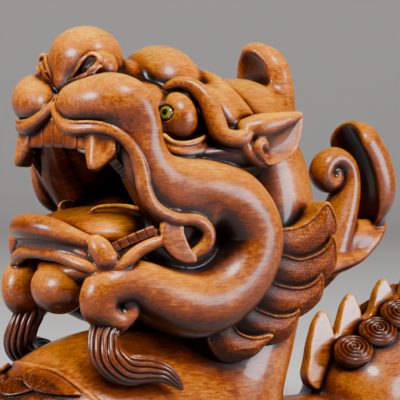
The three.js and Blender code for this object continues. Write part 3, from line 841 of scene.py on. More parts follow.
def strand_tree():
    """Strands side by side round a lock's path, each a fine roll that follows it."""
    sizes = {"Strands": "Int", "Spread": "Float", "Thickness": "Float", "Twist": "Float"}
    tree, inlet, outlet = new_tree("Beard strands", sizes)
    nodes = tree.nodes
    steps = linked(nodes, "GeometryNodeResampleCurve", {"Curve": inlet["Geometry"], "Count": 80})
    middle = linked(nodes, "GeometryNodeInputPosition").outputs[0]
    lock = stored(nodes, steps.outputs[0], "lock_middle", middle)
    copies = linked(nodes, "GeometryNodeDuplicateElements",
                    {"Geometry": lock, "Amount": inlet["Strands"]}, domain="SPLINE")
    share = maths(tree, "DIVIDE", copies.outputs[1], inlet["Strands"])
    run = linked(nodes, "GeometryNodeSplineParameter").outputs["Factor"]
    angle = maths(tree, "MULTIPLY_ADD", share, math.tau, maths(tree, "MULTIPLY", run, inlet["Twist"]))
    radius = linked(nodes, "GeometryNodeInputRadius").outputs[0]
    along = linked(nodes, "GeometryNodeInputTangent").outputs[0]
    beside = vector_maths(tree, "NORMALIZE", vector_maths(tree, "CROSS_PRODUCT", (1, 0, 0), along))
    outward = vector_maths(tree, "CROSS_PRODUCT", along, beside)
    reach = maths(tree, "MULTIPLY", radius, inlet["Spread"])
    first = scaled(tree, beside, maths(tree, "MULTIPLY", reach, maths(tree, "COSINE", angle)))
    second = scaled(tree, outward, maths(tree, "MULTIPLY", reach, maths(tree, "SINE", angle)))
    aside = vector_maths(tree, "ADD", first, second)
    moved = linked(nodes, "GeometryNodeSetPosition", {"Geometry": copies.outputs[0], "Offset": aside})
    place = linked(nodes, "GeometryNodeInputPosition").outputs[0]
    marked = stored(nodes, moved.outputs[0], "strand_middle", place)
    marked = stored(nodes, marked, "strand_out", vector_maths(tree, "NORMALIZE", vector_maths(
        tree, "SUBTRACT", place, known(nodes, "lock_middle"))))
    ring = linked(nodes, "GeometryNodeCurvePrimitiveCircle", {"Resolution": 14, "Radius": 1.0})
    rolls = linked(nodes, "GeometryNodeCurveToMesh", {
        "Curve": marked, "Profile Curve": ring.outputs[0], "Fill Caps": True,
        "Scale": maths(tree, "MULTIPLY", radius, inlet["Thickness"])})
    # How far each side of a strand faces into its lock, which paints shade between the strands
    away = vector_maths(tree, "NORMALIZE", vector_maths(
        tree, "SUBTRACT", place, known(nodes, "strand_middle")))
    sunk = maths(tree, "SUBTRACT", 1.0, dot(tree, away, known(nodes, "strand_out")))
    close_tree(tree, stored(nodes, rolls.outputs[0], "sunk", sunk, "FLOAT"), outlet)
    return tree


def tooth_tree():
    """Square-shouldered teeth side by side along a gum line."""
    tree, inlet, outlet = new_tree("Tooth row", {"Teeth": "Int", "Size": "Vector"})
    nodes = tree.nodes
    steps = linked(nodes, "GeometryNodeResampleCurve",
                   {"Curve": inlet["Geometry"], "Count": inlet["Teeth"]})
    along = linked(nodes, "GeometryNodeInputTangent")
    turn = linked(nodes, "FunctionNodeAlignRotationToVector", {"Vector": along.outputs[0]},
                  axis="X", pivot_axis="AUTO")
    block = linked(nodes, "GeometryNodeMeshCube", {"Size": inlet["Size"]})
    worn = linked(nodes, "GeometryNodeSubdivisionSurface",
                  {"Mesh": block.outputs[0], "Level": 3, "Edge Crease": 0.62})
    row = linked(nodes, "GeometryNodeInstanceOnPoints",
                 {"Points": steps.outputs[0], "Instance": worn.outputs[0], "Rotation": turn.outputs[0]})
    close_tree(tree, row.outputs[0], outlet)
    return tree


def set_on_points(tree, points, instance):
    """One copy of the instance at each point, turned and sized as the point says."""
    nodes = tree.nodes
    turn, size = known(nodes, "turn"), known(nodes, "size")
    euler = linked(nodes, "FunctionNodeEulerToRotation", {"Euler": turn})
    return linked(nodes, "GeometryNodeInstanceOnPoints", {
        "Points": points, "Instance": instance, "Rotation": euler.outputs[0], "Scale": size}).outputs[0]


def boss(tree, segments, rings):
    """A ball of radius 1 to be reshaped, its places, and how far they are from its upright axis."""
    ball = linked(tree.nodes, "GeometryNodeMeshUVSphere",
                  {"Segments": segments, "Rings": rings, "Radius": 1.0})
    place = linked(tree.nodes, "GeometryNodeInputPosition")
    apart = linked(tree.nodes, "ShaderNodeSeparateXYZ", {0: place.outputs[0]})
    x, y, z = apart.outputs
    far = maths(tree, "SQRT", maths(tree, "MULTIPLY_ADD", x, x, maths(tree, "MULTIPLY", y, y)))
    return ball.outputs[0], x, y, z, far


def reshaped(tree, ball, x, y, z):
    place = linked(tree.nodes, "ShaderNodeCombineXYZ", {0: x, 1: y, 2: z})
    moved = linked(tree.nodes, "GeometryNodeSetPosition", {"Geometry": ball, "Position": place.outputs[0]})
    return moved.outputs[0]


def flattened(tree, z, power, swell):
    """Heights of a low boss with a steep edge, raised by swell."""
    steep = maths(tree, "POWER", maths(tree, "ABSOLUTE", z), power)
    return maths(tree, "MULTIPLY", maths(tree, "MULTIPLY", steep, maths(tree, "SIGN", z)), swell)


def leaf_tree():
    """Leaves with a round root, a pointed tip and a raised rim."""
    tree, inlet, outlet = new_tree("Leaves", {"Rim": "Float"})
    ball, x, y, z, far = boss(tree, 56, 36)
    narrow = maths(tree, "SQRT", maths(tree, "MULTIPLY", maths(tree, "SUBTRACT", 1.0, x), 0.75))
    rim = linked(tree.nodes, "ShaderNodeMapRange",
                 {"Value": far, "From Min": 0.76, "From Max": 0.84, "To Min": 1.0, "To Max": inlet["Rim"]},
                 interpolation_type="SMOOTHSTEP")
    leaf = reshaped(tree, ball, x, maths(tree, "MULTIPLY", y, narrow),
                    flattened(tree, z, 0.4, rim.outputs[0]))
    close_tree(tree, set_on_points(tree, inlet["Geometry"], leaf), outlet)
    return tree


def rosette_tree():
    """Low oval bosses with a spiral groove."""
    tree, inlet, outlet = new_tree("Rosettes", {"Turns": "Float", "Groove": "Float"})
    ball, x, y, z, far = boss(tree, 96, 110)
    turned = maths(tree, "DIVIDE", maths(tree, "ARCTAN2", y, x), math.tau)
    wave = maths(tree, "COSINE", maths(tree, "MULTIPLY", math.tau, maths(
        tree, "SUBTRACT", maths(tree, "MULTIPLY", far, inlet["Turns"]), turned)))
    swell = maths(tree, "MULTIPLY_ADD", wave, inlet["Groove"], 1.0)
    rosette = reshaped(tree, ball, x, y, flattened(tree, z, 0.5, swell))
    close_tree(tree, set_on_points(tree, inlet["Geometry"], rosette), outlet)
    return tree


def grown(name, data, tree, sizes, mirror=True):
    """The mesh that a tree makes of some data, with its inputs set, on one side or both."""
    piece = new_object(name, data)
    modifier = piece.modifiers.new("Grow", "NODES")
    modifier.node_group = tree
    for item in tree.interface.items_tree:
        if item.item_type == "SOCKET" and item.in_out == "INPUT" and item.name in sizes:
            modifier[item.identifier] = sizes[item.name]
    piece = finished(piece)
    if mirror:
        both_sides(piece.data)
    return piece


def both_sides(mesh):
    """Adds the mirror image of a mesh across the middle plane."""
    form = bmesh.new()
    form.from_mesh(mesh)
    copy = bmesh.ops.duplicate(form, geom=form.verts[:] + form.edges[:] + form.faces[:])["geom"]
    corners = [part for part in copy if isinstance(part, bmesh.types.BMVert)]
    faces = [part for part in copy if isinstance(part, bmesh.types.BMFace)]
    for corner in corners:
        corner.co.x = -corner.co.x
    bmesh.ops.reverse_faces(form, faces=faces)
    form.to_mesh(mesh)
    form.free()


def path_curve(name, places):
    """A smooth curve in metres through these places, with their radii."""
    line = bpy.data.curves.new(name, "CURVE")
    line.dimensions = "3D"
    path = smooth_path(places)
    spline = line.splines.new("POLY")
    spline.points.add(len(path) - 1)
    for point, (x, y, z, radius) in zip(spline.points, path):
        point.co = (x * MM, (y - JAWS_TO_MIDDLE) * MM, z * MM, 1)
        point.radius = radius * MM
    return line


def points_mesh(name, places, turns, sizes):
    """Bare points in metres that each carry a turn, as three angles, and a size."""
    mesh = bpy.data.meshes.new(name)
    mesh.from_pydata([(x * MM, (y - JAWS_TO_MIDDLE) * MM, z * MM) for x, y, z in places], [], [])
    for label, rows, step in (("turn", turns, 1), ("size", sizes, MM)):
        kept = mesh.attributes.new(label, "FLOAT_VECTOR", "POINT")
        kept.data.foreach_set("vector", (np.array(rows, np.float32) * step).ravel())
    return mesh


def leaf_points():
    places, turns, sizes = [], [], []
    for root_x, root_z, tip_x, tip_z, breadth in LEAVES:
        root, tip = chest_place(root_x, root_z)[0], chest_place(tip_x, tip_z)[0]
        middle, out = chest_place((root_x + tip_x) / 2, (root_z + tip_z) / 2)
        along = unit(tip - root)
        beside = unit(np.cross(out, along))
        frame_rows = Matrix([along, beside, np.cross(along, beside)]).transposed()
        places.append(middle)
        turns.append(tuple(frame_rows.to_euler()))
        sizes.append((np.linalg.norm(tip - root) / 2, breadth / 2, LEAF_DEPTH))
    return points_mesh("leaves", places, turns, sizes)


def rosette_points():
    """The rosettes lie along the slope of their row, and face outwards."""
    slope = math.atan2(ROSETTES[1][2] - ROSETTES[0][2], ROSETTES[1][1] - ROSETTES[0][1])
    lean = Matrix.Rotation(slope - ROSETTE_SINK, 3, "X")
    turn = tuple((lean @ Matrix.Rotation(math.radians(ROSETTE_FACING), 3, "Y")).to_euler())
    count = len(ROSETTES)
    return points_mesh("rosettes", ROSETTES, [turn] * count, [ROSETTE_SIZE] * count)


def lens(name, mirror):
    """A polished glass dome in its pocket, with a bevelled foot.

    Its corners know how far they are from the pupil's middle, and where they are round it.
    """
    place, aim = glass_place()
    if mirror:
        place, aim = place * (-1, 1, 1), aim * (-1, 1, 1)
    beside = unit(np.cross((0, 0, 1), aim))
    up = np.cross(aim, beside)
    radius, proud, deep, bevel = GLASS["radius"], GLASS["proud"], GLASS["deep"], GLASS["bevel"]
    profile = [(radius * math.sin(a), proud - 1.0 + math.cos(a)) for a in np.linspace(0, math.pi / 2, 15)]
    profile += [(radius, bevel - deep), (radius - bevel, -deep)]
    angles = np.arange(LENS_SIDES) * math.tau / LENS_SIDES
    circle = np.outer(np.cos(angles), beside) + np.outer(np.sin(angles), up)
    rings = [place + aim * height + far * circle for far, height in profile[1:]]
    places = np.vstack([place + aim * profile[0][1]] + rings + [place - aim * deep])
    near = np.arange(LENS_SIDES)
    nxt = (near + 1) % LENS_SIDES
    quads = []
    for first in range(1, 1 + LENS_SIDES * (len(rings) - 1), LENS_SIDES):
        after = first + LENS_SIDES
        quads.append(np.stack([first + near, after + near, after + nxt, first + nxt], 1))
    last = len(places) - 1
    base = last - LENS_SIDES
    top = np.stack([near * 0, 1 + near, 1 + nxt], 1)
    foot = np.stack([near * 0 + last, base + nxt, base + near], 1)
    piece = mesh_object(name, places, np.vstack([top, foot]), np.vstack(quads))
    piece.data.shade_smooth()
    far = np.linalg.norm(np.cross(places - place, aim), axis=1) / radius
    ring = piece.data.attributes.new("ring", "FLOAT", "POINT")
    ring.data.foreach_set("value", far.astype(np.float32))
    turned = np.arctan2((places - place) @ up, (places - place) @ beside)
    rows = np.stack([np.cos(turned) * 3, np.sin(turned) * 3, far * 0.8], 1)
    spoke = piece.data.attributes.new("spoke", "FLOAT_VECTOR", "POINT")
    spoke.data.foreach_set("vector", rows.astype(np.float32).ravel())
    return piece


# Patina and painted shade: how deep each place lies and how far it faces up, so that stain and painted
# shade can gather there and painted light can fall on upper sides
def box_blur(values, reach):
    """The values of a grid, each averaged twice over its neighbours out to that many cells."""
    for axis in range(3):
        for _ in range(2):
            padded = np.pad(values, [(reach + 1, reach) if i == axis else (0, 0) for i in range(3)])
            total = np.cumsum(padded, axis=axis, dtype=np.float32)
            width = 2 * reach + 1
            upper = np.take(total, range(width, total.shape[axis]), axis=axis)
            lower = np.take(total, range(0, total.shape[axis] - width), axis=axis)
            values = (upper - lower) / width
    return values


def sampled(values, places):
    """Values of a grid at these places, in cells from its first corner."""
    places = np.clip(places, 0, np.array(values.shape) - 1.001)
    first = places.astype(int)
    share = places - first
    found = np.zeros(len(places), np.float32)
    for corner in np.ndindex(2, 2, 2):
        weight = np.prod(np.where(corner, share, 1 - share), axis=1)
        i, j, k = (first + corner).T
        found += weight * values[i, j, k]
    return found


def mesh_places(mesh):
    places = np.empty(len(mesh.vertices) * 3, np.float32)
    mesh.vertices.foreach_get("co", places)
    return places.reshape(-1, 3)


def mesh_triangles(mesh):
    mesh.calc_loop_triangles()
    corners = np.empty(len(mesh.loop_triangles) * 3, np.int32)
    mesh.loop_triangles.foreach_get("vertices", corners)
    return corners.reshape(-1, 3).astype(np.uint32)


def gather_patina_and_shade(pieces, cell):
    """Tells the corners of these pieces how deep they lie, and how far they face upwards."""
    room = math.ceil(PATINA_AND_SHADE_ROOM / cell)
    low = np.array(CAD_BOX[0]) / MM - room * cell
    counts = np.ceil((np.array(CAD_BOX[1]) / MM - low) / cell).astype(int) + room
    wood_gap = np.full(counts, 3 * cell, np.float32)
    for piece in pieces:
        grid = openvdb.FloatGrid.createLevelSetFromPolygons(
            (mesh_places(piece.data) / MM - low) / cell, mesh_triangles(piece.data), halfWidth=3.0)
        here = np.empty(counts, np.float32)
        grid.copyToArray(here)
        np.minimum(wood_gap, here * cell, out=wood_gap)
    filled = np.clip(0.5 - wood_gap / cell, 0, 1)
    depths = {label: box_blur(filled, max(1, round(reach / cell))) for label, reach in PATINA_AND_SHADE_REACH.items()}
    for piece in pieces:
        places = (mesh_places(piece.data) / MM - low) / cell
        for label, values in depths.items():
            kept = piece.data.attributes.new(label, "FLOAT", "POINT")
            kept.data.foreach_set("value", sampled(values, places))
        facing = np.empty(3 * len(piece.data.vertices), np.float32)
        piece.data.vertex_normals.foreach_get("vector", facing)
        upper = piece.data.attributes.new("upper", "FLOAT", "POINT")
        upper.data.foreach_set("value", np.ascontiguousarray(facing[2::3]))


# Materials
def attribute(nodes, name):
    return linked(nodes, "ShaderNodeAttribute", attribute_name=name).outputs


def noise(nodes, place, scale, detail=2.0, stretch=None):
    if stretch:
        place = linked(nodes, "ShaderNodeMapping", {"Vector": place, "Scale": stretch}).outputs[0]
    inputs = {"Vector": place, "Scale": scale, "Detail": detail}
    return linked(nodes, "ShaderNodeTexNoise", inputs).outputs[0]


def eased(tree, value, start, stop):
    """0 at start and 1 at stop, and smooth between."""
    return linked(tree.nodes, "ShaderNodeMapRange", {"Value": value, "From Min": start, "From Max": stop},
                  interpolation_type="SMOOTHSTEP").outputs[0]


def coloured(nodes, value, stops):
    node = linked(nodes, "ShaderNodeValToRGB", {0: value})
    band = node.color_ramp.elements
    while len(band) < len(stops):
        band.new(0.5)
    for part, (place, colour) in zip(band, stops):
        part.position = place
        part.color = (*colour, 1)
    return node.outputs[0]


def new_material(name):
    """A material, its tree and its main shader."""
    material = bpy.data.materials.new(name)
    material.use_nodes = True
    return material, material.node_tree, material.node_tree.nodes["Principled BSDF"]


def ball_depth(nodes, place, ball):
    """How far out a place lies in a ball: 0 in its middle, 1 on its surface."""
    centre, radii = np.array(ball["centre"]) + SHIFT, np.array(ball["radii"])
    inputs = {"Vector": place, "Location": tuple(centre * MM), "Scale": tuple(radii * MM)}
    inside = linked(nodes, "ShaderNodeMapping", inputs, vector_type="TEXTURE").outputs[0]
    return linked(nodes, "ShaderNodeVectorMath", {0: inside}, operation="LENGTH").outputs["Value"]


def added(tree, light, value, amount):
    """The lightness with that much of a value added."""
    return maths(tree, "MULTIPLY_ADD", value, amount, light)


def wood(name="waxed boxwood"):
    """Boxwood, darkened in its hollows by stain and painted shade, rubbed back on its edges, given painted
    light on its upper sides and waxed.
    """
    kept = bpy.data.materials.get(name)
    if kept:
        return kept
    # These settings hold the stain and the painted light and shade
    stain = bpy.context.scene.pixiu_stain
    darker, stipple, coat, gather, worn = WOODS[name]
    material, tree, shader = new_material(name)
    nodes = tree.nodes
    place = linked(nodes, "ShaderNodeTexCoord").outputs["Object"]
    grain = {
        "blotch": noise(nodes, place, GRAIN["blotch"][0], 3),
        "mottle": noise(nodes, place, GRAIN["mottle"][0], 3),
        "fibre": noise(nodes, place, GRAIN["fibre"][0], 2, (1, 0.12, 1)),
        "pores": noise(nodes, place, GRAIN["pores"][0], 1, (1, 0.25, 1)),
    }
    hollow, crease, shelter, upper = (attribute(nodes, label)["Fac"]
                                      for label in ("hollow", "crease", "shelter", "upper"))

    # Stain and painted shade darken hollows and fine grooves; painted shade also falls under overhangs,
    # between strands, on undersides and inside the mouth
    sunk, deep = eased(tree, hollow, 0.42, 0.74), eased(tree, shelter, 0.46, 0.64)
    groove, edge = eased(tree, crease, 0.46, 0.7), eased(tree, crease, 0.34, 0.18)
    # Painted shade between the strands of the beard
    between = eased(tree, attribute(nodes, "sunk")["Fac"], 0.1, 0.75)
    light = maths(tree, "MULTIPLY_ADD", sunk, -gather * stain.hollow_stain_and_shade, stain.lightness - darker)
    # Painted shade over whole sheltered parts, such as under the jaw and between the mane lobes
    light = added(tree, light, deep, -gather * stain.shelter_shade_depth)
    light = added(tree, light, maths(tree, "MAXIMUM", groove, between), -stain.groove_stain_and_shade)
    # Painted shade on undersides
    light = added(tree, light, eased(tree, upper, -0.2, -0.85), -stain.under_shade_depth)
    # Painted shade inside the mouth
    light = added(tree, light, eased(tree, ball_depth(nodes, place, MOUTH_SHADE), 1.05, 0.75),
                  -stain.mouth_shade_depth)

    # Handling rubs the edges lighter; painted light falls on the upper sides and in the dish of the horn
    light = added(tree, light, edge, stain.edge_wear)
    # Painted light on the upper sides
    light = added(tree, light, upper, worn * stain.upper_light)
    # Painted light in the dish of the horn, which lifts the hollow's darkening there
    dish = eased(tree, ball_depth(nodes, place, HORN_SCOOP), 1.15, 0.98)
    light = added(tree, light, maths(tree, "MULTIPLY", dish, sunk), stain.dish_light)

    # Stippled wood and the ground of the breastplate are pricked all over
    ground = eased(tree, ball_depth(nodes, place, PLATE), 1.005, 0.99)
    light = added(tree, light, ground, -stain.plate_depth)
    pricked = maths(tree, "MULTIPLY_ADD", ground, PLATE_STIPPLE, stipple)
    inputs = {"Vector": place, "Scale": STIPPLE_SCALE}
    dots = linked(nodes, "ShaderNodeTexVoronoi", inputs).outputs["Distance"]
    for label, (scale, amount) in GRAIN.items():
        light = added(tree, light, maths(tree, "SUBTRACT", grain[label], 0.5), amount)
    light = added(tree, light, maths(tree, "SUBTRACT", dots, 0.5), pricked)

    stops = [(0.0, stain.black), (0.25, stain.dark), (0.5, stain.brown), (0.75, stain.amber),
             (1.0, stain.worn)]
    tree.links.new(coloured(nodes, light, stops), shader.inputs["Base Color"])
    rough = maths(tree, "MULTIPLY_ADD", grain["mottle"], 0.2, stain.roughness - 0.1)
    rough = added(tree, rough, maths(tree, "MAXIMUM", sunk, groove), 0.08)
    tree.links.new(rough, shader.inputs["Roughness"])
    shader.inputs["Specular IOR Level"].default_value = GLOSS * (1 - stipple)
    shader.inputs["Coat Weight"].default_value = coat
    shader.inputs["Coat Roughness"].default_value = 0.1
    height = maths(tree, "MULTIPLY_ADD", grain["fibre"], 0.6, maths(tree, "MULTIPLY", grain["mottle"], 1.2))
    height = added(tree, height, dots, maths(tree, "MULTIPLY", pricked, 2.5))
    bump = linked(nodes, "ShaderNodeBump", {"Strength": 0.3, "Distance": 0.00012, "Height": height})
    tree.links.new(bump.outputs[0], shader.inputs["Normal"])
    return material


def glass():
    """Yellow-green glass with a black pupil, its colours dimmed as painted shade, and a dark edge painted
    as shadow.
    """
    material, tree, shader = new_material("eye glass")
    nodes = tree.nodes
    ring = attribute(nodes, "ring")["Fac"]
    streak = noise(nodes, attribute(nodes, "spoke")["Vector"], 3, 3)
    at = maths(tree, "MULTIPLY_ADD", maths(tree, "SUBTRACT", streak, 0.5), 0.22, ring)
    tree.links.new(coloured(nodes, at, GLASS_RINGS), shader.inputs["Base Color"])
    shader.inputs["Roughness"].default_value = 0.08
    shader.inputs["Coat Weight"].default_value = 1.0
    shader.inputs["Coat Roughness"].default_value = 0.02
    return material


def wear(piece, material):
    piece.data.materials.clear()
    piece.data.materials.append(material)


def rest_on_root(piece, slot, *nodes):
    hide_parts(*nodes)
    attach(piece, "root")
    return piece


def wooden(piece, kind="waxed boxwood"):
    wear(piece, wood(kind))
    return rest_on_root(piece, WOOD_SLOT, "pixiu_bust")


# Studio
def look_back(azimuth, elevation):
    """The way from the carving to a camera or a light that stands at these angles."""
    out = math.cos(elevation)
    return Vector((math.sin(azimuth) * out, -math.cos(azimuth) * out, math.sin(elevation)))


def aim_at(thing, place, target):
    thing.location = place
    thing.rotation_euler = (Vector(place) - Vector(target)).to_track_quat("Z", "Y").to_euler()


def soft_box(name, box, power, target, turned=0.0, tint=(1, 1, 1)):
    """A round soft light. Its azimuth counts from the one given as turned."""
    azimuth, elevation, distance, breadth, height = box
    data = bpy.data.lights.new(name, "AREA")
    data.shape = "ELLIPSE"
    data.size = breadth
    data.size_y = height
    data.energy = power
    data.color = tint
    lamp = bpy.data.objects.new(name, data)
    bpy.context.scene.collection.objects.link(lamp)
    back = look_back(turned + math.radians(azimuth), math.radians(elevation))
    aim_at(lamp, target + back * distance, target)


def sweep(name, azimuth):
    """A pale floor that curves up into a wall behind the carving."""
    away = -look_back(azimuth, 0)
    beside = Vector((away.y, -away.x, 0))
    side, back, bend = FLOOR["side"], FLOOR["back"], FLOOR["bend"]
    profile = [(FLOOR["front"], 0), (back, 0)]
    profile += [(back + bend * math.sin(a), bend - bend * math.cos(a))
                for a in np.linspace(0.1, math.pi / 2, 16)]
    profile += [(back + bend, FLOOR["top"])]
    places = [away * out + Vector((0, 0, up)) + beside * edge
              for out, up in profile for edge in (-side, side)]
    faces = [(2 * i, 2 * i + 1, 2 * i + 3, 2 * i + 2) for i in range(len(profile) - 1)]
    mesh = bpy.data.meshes.new(name)
    mesh.from_pydata(places, [], faces)
    mesh.shade_smooth()
    floor = new_object(name, mesh)
    material, tree, shader = new_material("pale paper")
    shader.inputs["Base Color"].default_value = FLOOR_COLOUR
    shader.inputs["Roughness"].default_value = 0.9
    wear(floor, material)


def set_stage(studio):
    scene = bpy.context.scene
    target = Vector((0, -JAWS_TO_MIDDLE * MM, AIM_HEIGHT))
    sweep("floor", studio.azimuth)
    camera = new_object("camera", bpy.data.cameras.new("camera"))
    aim_at(camera, target + look_back(studio.azimuth, studio.elevation) * studio.distance, target)
    camera.data.lens = camera.data.sensor_width * studio.distance / studio.view_width
    scene.camera = camera
    soft_box("side box", SIDE_BOX, studio.side_power, target, tint=SIDE_TINT)
    soft_box("key", KEY, studio.key_power, target, turned=studio.azimuth)
    soft_box("left box", LEFT_BOX, studio.left_power, target, turned=studio.azimuth)
    world = bpy.data.worlds.new("studio")
    world.use_nodes = True
    world.node_tree.nodes["Background"].inputs["Color"].default_value = AIR_COLOUR
    world.node_tree.nodes["Background"].inputs["Strength"].default_value = studio.air
    scene.world = world


# Panel and operators
class PixiuSizes(bpy.types.PropertyGroup):
    cell: FloatProperty(name="Finest cut", description="Size of the cells that the head is carved in",
                        default=0.00035, min=0.0002, subtype="DISTANCE", unit="LENGTH")
    front_teeth: IntProperty(
        name="Front teeth", description="Teeth between the upper fangs", default=6, min=2)
    tooth: FloatVectorProperty(
        name="Front tooth", description="Breadth, depth and height of a front tooth",
        default=(0.0053, 0.0026, 0.0086), subtype="XYZ", unit="LENGTH")
    back_teeth: IntProperty(name="Back teeth", description="Teeth of each back row", default=5, min=2)
    back_tooth: FloatVectorProperty(
        name="Back tooth", description="Breadth, depth and height of a back tooth",
        default=(0.0027, 0.0015, 0.0027), subtype="XYZ", unit="LENGTH")
    strands: IntProperty(name="Strands", description="Strands round each beard lock", default=13, min=3)
    spread: FloatProperty(
        name="Strand spread", description="How far out the strands lie in a lock", default=0.8)
    strand: FloatProperty(
        name="Strand thickness", description="Strand radius as a share of the lock's", default=0.215)
    twist: FloatProperty(name="Strand twist", description="How far the strands turn round a lock",
                         default=0.9, subtype="ANGLE", unit="ROTATION")
    turns: FloatProperty(
        name="Rosette turns", description="Turns of the spiral on a rosette", default=4.5)
    groove: FloatProperty(
        name="Rosette groove", description="Depth of the spiral as a share of the boss", default=0.13)
    rim: FloatProperty(
        name="Leaf rim", description="Height of a leaf's rim as a share of its middle", default=1.4)


class PixiuStainAndShade(bpy.types.PropertyGroup):
    # The colours are stops along a lightness that stain, wear, painted light and painted shade all move
    worn: FloatVectorProperty(
        name="Worn and lit wood", description="Colour where handling has rubbed the stain off",
        default=(1.0, 0.46, 0.003), subtype="COLOR", size=3, min=0, max=1)
    amber: FloatVectorProperty(name="Amber", description="Colour of open rounded wood",
                               default=(0.54, 0.15, 0.001), subtype="COLOR", size=3, min=0, max=1)
    brown: FloatVectorProperty(name="Brown", description="Colour of sheltered wood",
                               default=(0.16, 0.027, 0.0006), subtype="COLOR", size=3, min=0, max=1)
    dark: FloatVectorProperty(name="Dark brown", description="Colour of hollows",
                              default=(0.032, 0.0045, 0.0005), subtype="COLOR", size=3, min=0, max=1)
    black: FloatVectorProperty(name="Black", description="Colour of the deepest grooves",
                               default=(0.007, 0.0016, 0.0005), subtype="COLOR", size=3, min=0, max=1)
    lightness: FloatProperty(
        name="Lightness", description="How light the open wood is", default=0.54, min=0, max=1)
    # Hollow darkening is partly stain and partly painted shade
    hollow_stain_and_shade: FloatProperty(
        name="Hollow stain and shade", description="How strongly hollows darken", default=0.5)
    # Painted shade in sheltered parts
    shelter_shade_depth: FloatProperty(
        name="Painted shelter shade", description="How strongly whole sheltered parts darken",
        default=0.42)
    # Groove darkening is partly stain and partly painted shade; between the strands it is painted shade
    groove_stain_and_shade: FloatProperty(
        name="Groove stain and shade", description="How strongly fine grooves darken", default=0.5)
    # Painted shade inside the mouth
    mouth_shade_depth: FloatProperty(
        name="Painted mouth shade", description="How strongly the inside of the mouth darkens",
        default=0.22)
    # Painted light on upper sides
    upper_light: FloatProperty(
        name="Painted upper light", description="How strongly upper sides lighten", default=0.34)
    plate_depth: FloatProperty(
        name="Plate stain", description="How strongly the ground of the breastplate darkens",
        default=0.14)
    # Painted shade on undersides
    under_shade_depth: FloatProperty(
        name="Painted under shade", description="How strongly undersides darken", default=0.26)
    # Painted light in the dish of the horn
    dish_light: FloatProperty(
        name="Painted dish light", description="How strongly the dish of the horn is rubbed back",
        default=0.36)
    edge_wear: FloatProperty(
        name="Edge wear", description="How strongly sharp edges lighten", default=0.26)
    roughness: FloatProperty(
        name="Roughness", description="Roughness of the waxed wood", default=0.32, min=0, max=1)


class PixiuStudio(bpy.types.PropertyGroup):
    azimuth: FloatProperty(name="Camera azimuth", description="Turn of the camera from the face",
                           default=math.radians(52), subtype="ANGLE", unit="ROTATION")
    elevation: FloatProperty(name="Camera elevation", description="Rise of the camera",
                             default=math.radians(3), subtype="ANGLE", unit="ROTATION")
    distance: FloatProperty(
        name="Camera distance", description="From the carving's middle", default=0.6,
        subtype="DISTANCE", unit="LENGTH")
    view_width: FloatProperty(
        name="View width", description="Width seen at the carving's middle", default=0.12,
        subtype="DISTANCE", unit="LENGTH")
    key_power: FloatProperty(
        name="Key", description="Power of the light above the camera", default=12.0)
    side_power: FloatProperty(
        name="Side box", description="Power of the large box on the right", default=10.0)
    left_power: FloatProperty(
        name="Left box", description="Power of the small box on the left", default=15.0)
    air: FloatProperty(name="Air", description="Strength of the light from all round", default=0.02)


def carve_cell(context):
    """The finest cut, in millimetres."""
    return context.scene.pixiu_sizes.cell / MM


class PIXIU_OT_trunk(bpy.types.Operator):
    """Carves the chest, neck, back and fin comb"""
    bl_idname = "pixiu.trunk"
    bl_label = "Carve the trunk"

    def execute(self, context):
        finest = carve_cell(context)
        wooden(carved("trunk", finest, [carve_trunk]), "body boxwood")
        wooden(carved("fin_comb", finest, [carve_fins]), "rubbed boxwood")
        return {"FINISHED"}


class PIXIU_OT_head(bpy.types.Operator):
    """Carves the head with its mouth, horn and ears"""
    bl_idname = "pixiu.head"
    bl_label = "Carve the head"

    def execute(self, context):
        carvers = [carve_skull, carve_face, carve_mouth, carve_eyes, carve_ears]
        wooden(carved("head", carve_cell(context), carvers))
        return {"FINISHED"}


class PIXIU_OT_locks(bpy.types.Operator):
    """Carves the mane, the lock on the nape and the cores of the beard"""
    bl_idname = "pixiu.locks"
    bl_label = "Carve the locks"

    def execute(self, context):
        finest = carve_cell(context)
        wooden(carved("mane", finest, [carve_mane]), "stippled boxwood")
        wooden(carved("nape_lock", finest, [carve_nape]), "lock boxwood")
        wooden(carved("beard", finest, [carve_beard]), "dark boxwood")
        return {"FINISHED"}


class PIXIU_OT_strands(bpy.types.Operator):
    """Lays strands round the beard locks"""
    bl_idname = "pixiu.strands"
    bl_label = "Lay the strands"

    def execute(self, context):
        sizes = context.scene.pixiu_sizes
        lay = {"Strands": sizes.strands, "Spread": sizes.spread, "Thickness": sizes.strand,
               "Twist": sizes.twist}
        lock = path_curve("beard_path", BEARD)
        wooden(grown("beard_strands", lock, strand_tree(), lay), "dark boxwood")
        return {"FINISHED"}


class PIXIU_OT_teeth(bpy.types.Operator):
    """Sets the rows of teeth"""
    bl_idname = "pixiu.teeth"
    bl_label = "Set the teeth"

    def execute(self, context):
        sizes = context.scene.pixiu_sizes
        tree = tooth_tree()
        front = {"Teeth": sizes.front_teeth, "Size": tuple(sizes.tooth)}
        back = {"Teeth": sizes.back_teeth, "Size": tuple(sizes.back_tooth)}
        front_gum = path_curve("front_gum", UPPER_TEETH)
        upper_gum = path_curve("upper_gum", UPPER_BACK_TEETH)
        lower_gum = path_curve("lower_gum", LOWER_BACK_TEETH)
        wooden(grown("front_teeth", front_gum, tree, front, mirror=False))
        wooden(grown("upper_teeth", upper_gum, tree, back), "gum boxwood")
        wooden(grown("lower_teeth", lower_gum, tree, back), "gum boxwood")
        return {"FINISHED"}


class PIXIU_OT_ornament(bpy.types.Operator):
    """Sets the leaves of the breastplate and the rosettes beside the fin comb"""
    bl_idname = "pixiu.ornament"
    bl_label = "Set the ornament"

    def execute(self, context):
        sizes = context.scene.pixiu_sizes
        wooden(grown("leaves", leaf_points(), leaf_tree(), {"Rim": sizes.rim}), "tooled boxwood")
        spiral = {"Turns": sizes.turns, "Groove": sizes.groove}
        wooden(grown("rosettes", rosette_points(), rosette_tree(), spiral), "dark boxwood")
        return {"FINISHED"}


